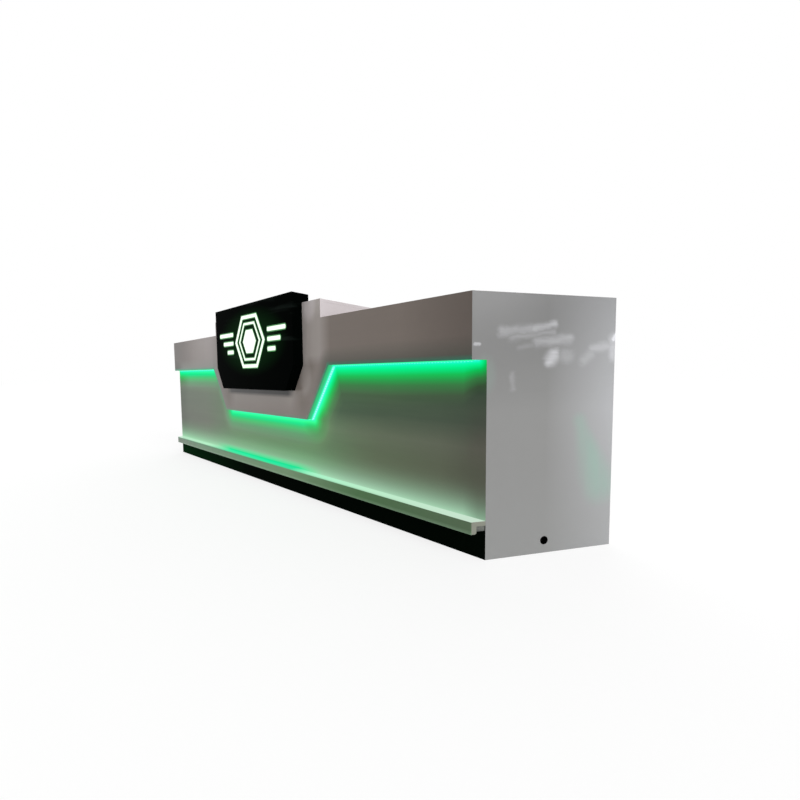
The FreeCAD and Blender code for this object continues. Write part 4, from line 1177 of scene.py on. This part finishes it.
class COUNTER_OT_carcass(bpy.types.Operator):
    """White boards of the staff side, with holes for shelf supports and the fillers' screws"""

    bl_idname = "counter.carcass"
    bl_label = "Carcass"

    def execute(self, context):
        for node in ("tall_dividers", "end_dividers", "centre_divider", "rear_fillers",
                     "pigeonhole_upright", "cupboard_shelves", "bay_shelves"):
            soften(node, sizes().board_edge)
        dress("counter_top_centre", "base_board", "rear_plinth", "plinth_ribs", "shelf_supports")
        self.shelf_holes()
        self.filler_screws()
        return {"FINISHED"}

    def shelf_holes(self):
        """Two rows of holes on every face that carries a shelf."""
        low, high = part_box("cupboard_shelves")
        rows = (low.y + ROW_INSET, high.y - ROW_INSET)
        pitch = sizes().pin_hole_pitch
        heights = [LOWEST_HOLE + step * pitch for step in range(HOLES_IN_ROW)]
        heights = [height for height in heights if not blocked(height)]
        tall, end, centre = (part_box(node)[1].x for node in
                             ("tall_dividers", "end_dividers", "centre_divider"))
        thickness = centre * 2
        faces = ((tall - thickness, -1), (tall, 1), (end - thickness, -1), (centre, 1))
        for number, (x, facing) in enumerate(faces, start=1):
            for side, end_name in ((1, "right"), (-1, "left")):
                place = side * (x + facing * HOLE_PROUD / 2)
                points = [(place, y, height) for y in rows for height in heights]
                heads_at("shelf_holes_%d_%s" % (number, end_name), points,
                         (float(side * facing), 0.0, 0.0),
                         (sizes().pin_hole_radius, HOLE_PROUD), "hole", "carcass_board")

    def filler_screws(self):
        """Two columns of screws on each rear filler."""
        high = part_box("rear_fillers")[1]
        inset_in, inset_out = FILLER_SCREW_INSETS
        columns = (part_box("end_dividers")[1].x + inset_in, high.x - inset_out)
        heights = FILLER_SCREW_HEIGHTS + (high.z - FILLER_SCREW_TOP,)
        points = [(side * x, high.y + FILLER_HEAD / 2, z)
                  for x in columns for z in heights for side in (1, -1)]
        screws_at("filler_screws", points, (0.0, 1.0, 0.0), (sizes().screw_radius, FILLER_HEAD))


def blocked(height):
    """Whether a shelf lies in the way of a hole at a height."""
    for node in ("cupboard_shelves", "bay_shelves"):
        low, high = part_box(node)
        if low.z - CLEAR_BELOW < height < high.z + CLEAR_ABOVE:
            return True
    return False


class COUNTER_OT_doors_and_drawers(bpy.types.Operator):
    """Doors, drawers, pulls, hinges and runners"""

    bl_idname = "counter.doors_and_drawers"
    bl_label = "Doors and drawers"

    def execute(self, context):
        fronts = ["door_%d" % number for number in range(1, 5)]
        fronts += ["drawer_1_front", "drawer_2_front"]
        for node in fronts:
            soften(node, sizes().board_edge)
            name = node.replace("_front", "")
            soften(name + "_pull", 3 * sizes().board_edge)
        for number in range(1, 5):
            dress("door_%d_hinge_leaves" % number)
        for number in (1, 2):
            dress("drawer_%d_box" % number, "drawer_%d_runner_bars" % number)
        dress("fixed_hinge_leaves", "hinge_pins", "runner_channels")
        return {"FINISHED"}


# Screws of the switch and the driver: how far a screw lies from the plate's or the case's edge,
# the driver's fixing lug under its screw, the heads' heights, how deep a switch screw is sunk and
# its radius as a share of a filler screw's.
SWITCH_SCREW_INSET = 9 * MM
SWITCH_HEAD = 0.5 * MM
SWITCH_HEAD_SUNK = 0.2 * MM
SWITCH_HEAD_SHARE = 0.7
DRIVER_SCREW_INSET = 10 * MM
DRIVER_LUG = 3 * MM
DRIVER_HEAD = 1.0 * MM


class COUNTER_OT_electrics(bpy.types.Operator):
    """Light switch and light driver"""

    bl_idname = "counter.electrics"
    bl_label = "Switch and driver"

    def execute(self, context):
        soften("switch_plate", 3 * sizes().board_edge)
        soften("switch_rocker", sizes().board_edge)
        dress("light_driver")
        radius = sizes().screw_radius

        low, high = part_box("switch_plate")
        middle = (low + high) / 2
        spread = (high.z - low.z) / 2 - SWITCH_SCREW_INSET
        face = high.y + SWITCH_HEAD / 2 - SWITCH_HEAD_SUNK
        points = [(middle.x, face, middle.z + side * spread) for side in (1, -1)]
        screws_at("switch_screws", points, (0.0, 1.0, 0.0),
                  (SWITCH_HEAD_SHARE * radius, SWITCH_HEAD))

        low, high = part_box("light_driver")
        middle = (low + high) / 2
        face = low.x + DRIVER_LUG + DRIVER_HEAD / 2
        points = [(face, y, middle.z)
                  for y in (low.y + DRIVER_SCREW_INSET, high.y - DRIVER_SCREW_INSET)]
        screws_at("driver_screws", points, (1.0, 0.0, 0.0), (radius, DRIVER_HEAD))
        return {"FINISHED"}


# Light that comes from everywhere, and the soft lamps: direction to each, strength and spread.
AMBIENT = 0.5
SUNS = (
    ("key", (0.85, -0.22, 0.48), 1.7, 40.0),
    ("fill", (-0.45, 0.55, 0.7), 0.8, 60.0),
)

# The floor: half its width, its colour, the strength of the white that the camera sees on it and
# the white's share.
FLOOR_REACH = 60.0
FLOOR_TONE = 0.8
FLOOR_WHITE = 1.12
FLOOR_WHITE_SHARE = 0.7

# The photograph's camera, solved from the counter's edges.
FRAME_PIXELS = 800
FOCAL_PIXELS = 367.0
CENTRE_PIXELS = (407.90, 399.66)
VIEW_ANGLES = (40.56, -3.69, -0.29)
EYE = (2.4478, -1.51525, 0.76541)


def light_path_share(nodes):
    """1 for what the camera, a reflection or glass sees, and 0 for light that falls on things."""
    path = nodes.node("ShaderNodeLightPath").outputs
    rays = [Number(nodes, path[name]) for name in
            ("Is Camera Ray", "Is Glossy Ray", "Is Transmission Ray")]
    return rays[0].at_least(rays[1]).at_least(rays[2])


class COUNTER_OT_stage(bpy.types.Operator):
    """Pale floor, soft light and the camera"""

    bl_idname = "counter.stage"
    bl_label = "Stage"

    def execute(self, context):
        self.floor()
        self.background()
        self.lights()
        self.camera()
        return {"FINISHED"}

    def floor(self):
        """A pale floor that looks white round the counter and keeps the shadow under it."""
        mesh = bpy.data.meshes.new("floor")
        corners = [(-FLOOR_REACH, -FLOOR_REACH, 0), (FLOOR_REACH, -FLOOR_REACH, 0),
                   (FLOOR_REACH, FLOOR_REACH, 0), (-FLOOR_REACH, FLOOR_REACH, 0)]
        mesh.from_pydata(corners, [], [(0, 1, 2, 3)])
        floor = bpy.data.objects.new("floor", mesh)
        bpy.context.scene.collection.objects.link(floor)
        finish = Finish("pale floor", {"Roughness": 0.9, "Specular IOR Level": 0.0,
                                       "Base Color": opaque((FLOOR_TONE,) * 3)})
        white = finish.node("ShaderNodeEmission", None, {"Strength": FLOOR_WHITE})
        x, y, _ = finish.place()
        past_end = (abs(x) - FASCIA_END) * math.cos(SPLAY) - (y - FASCIA_FRONT) * math.sin(SPLAY)
        outside = past_end.step(-0.07, -0.05).at_least(y.step(-0.15, -0.18))
        outside = outside.at_least(y.step(0.25, 0.262))
        share = light_path_share(finish) * FLOOR_WHITE_SHARE * outside
        mixed = finish.node("ShaderNodeMixShader", None,
                            {0: share, 1: finish.surface.outputs[0], 2: white.outputs[0]})
        output = finish.tree.nodes["Material Output"]
        finish.tree.links.new(mixed.outputs[0], output.inputs["Surface"])
        mesh.materials.append(finish.material)

    def background(self):
        """A world that looks white, and lights the counter at a lower level."""
        world = bpy.data.worlds.new("studio")
        bpy.context.scene.world = world
        world.use_nodes = True
        nodes = Nodes(world.node_tree)
        nodes.tree.nodes.clear()
        share = light_path_share(nodes)
        strength = share * (1.0 - AMBIENT) + AMBIENT
        paint = nodes.node("ShaderNodeBackground", None,
                           {"Color": (1.0, 1.0, 1.0, 1.0), "Strength": strength})
        nodes.node("ShaderNodeOutputWorld", None, {"Surface": paint.outputs[0]})

    def lights(self):
        """Two wide, soft lamps."""
        for name, direction, strength, spread in SUNS:
            lamp = bpy.data.lights.new(name, "SUN")
            lamp.energy = strength
            lamp.angle = math.radians(spread)
            holder = bpy.data.objects.new(name, lamp)
            holder.rotation_euler = Vector(direction).to_track_quat("Z", "Y").to_euler()
            bpy.context.scene.collection.objects.link(holder)

    def camera(self):
        """The photograph's camera, with its middle off the picture's as it was solved."""
        data = bpy.data.cameras.new("camera")
        data.sensor_width = 36.0
        data.lens = FOCAL_PIXELS / FRAME_PIXELS * data.sensor_width
        data.shift_x = 0.5 - CENTRE_PIXELS[0] / FRAME_PIXELS
        data.shift_y = CENTRE_PIXELS[1] / FRAME_PIXELS - 0.5
        data.clip_end = 200.0
        yaw, pitch, roll = (math.radians(angle) for angle in VIEW_ANGLES)
        ahead = Vector((-math.sin(yaw) * math.cos(pitch), math.cos(yaw) * math.cos(pitch),
                        math.sin(pitch)))
        level = Vector((math.cos(yaw), math.sin(yaw), 0.0))
        upright = level.cross(ahead)
        right = level * math.cos(roll) + upright * math.sin(roll)
        above = upright * math.cos(roll) - level * math.sin(roll)
        turn = Matrix((right, above, -ahead)).transposed().to_4x4()
        camera = bpy.data.objects.new("camera", data)
        camera.matrix_world = Matrix.Translation(Vector(EYE)) @ turn
        bpy.context.scene.collection.objects.link(camera)
        bpy.context.scene.camera = camera


OPERATORS = (
    COUNTER_OT_stage,
    COUNTER_OT_lacquered_front,
    COUNTER_OT_light_strips,
    COUNTER_OT_sign,
    COUNTER_OT_carcass,
    COUNTER_OT_doors_and_drawers,
    COUNTER_OT_electrics,
)


class COUNTER_PT_panel(bpy.types.Panel):
    """Lists the counter's sizes, colours and pieces"""

    bl_idname = "COUNTER_PT_panel"
    bl_label = "Counter"
    bl_space_type = "VIEW_3D"
    bl_region_type = "UI"
    bl_category = "Counter"

    def draw(self, context):
        layout = self.layout
        for group in (context.scene.counter_sizes, context.scene.counter_colours):
            for name in group.__annotations__:
                layout.prop(group, name)
        for operator in OPERATORS:
            layout.operator(operator.bl_idname)


CLASSES = (CounterColours, CounterSizes) + OPERATORS + (COUNTER_PT_panel,)


def register():
    for each in CLASSES:
        bpy.utils.register_class(each)
    bpy.types.Scene.counter_colours = bpy.props.PointerProperty(type=CounterColours)
    bpy.types.Scene.counter_sizes = bpy.props.PointerProperty(type=CounterSizes)


def unregister():
    del bpy.types.Scene.counter_colours
    del bpy.types.Scene.counter_sizes
    for each in reversed(CLASSES):
        bpy.utils.unregister_class(each)


def main():
    register()
    bpy.context.scene.view_settings.view_transform = "Standard"
    for operator in OPERATORS:
        group, name = operator.bl_idname.split(".")
        getattr(getattr(bpy.ops, group), name)()


if __name__ == "__main__":
    main()
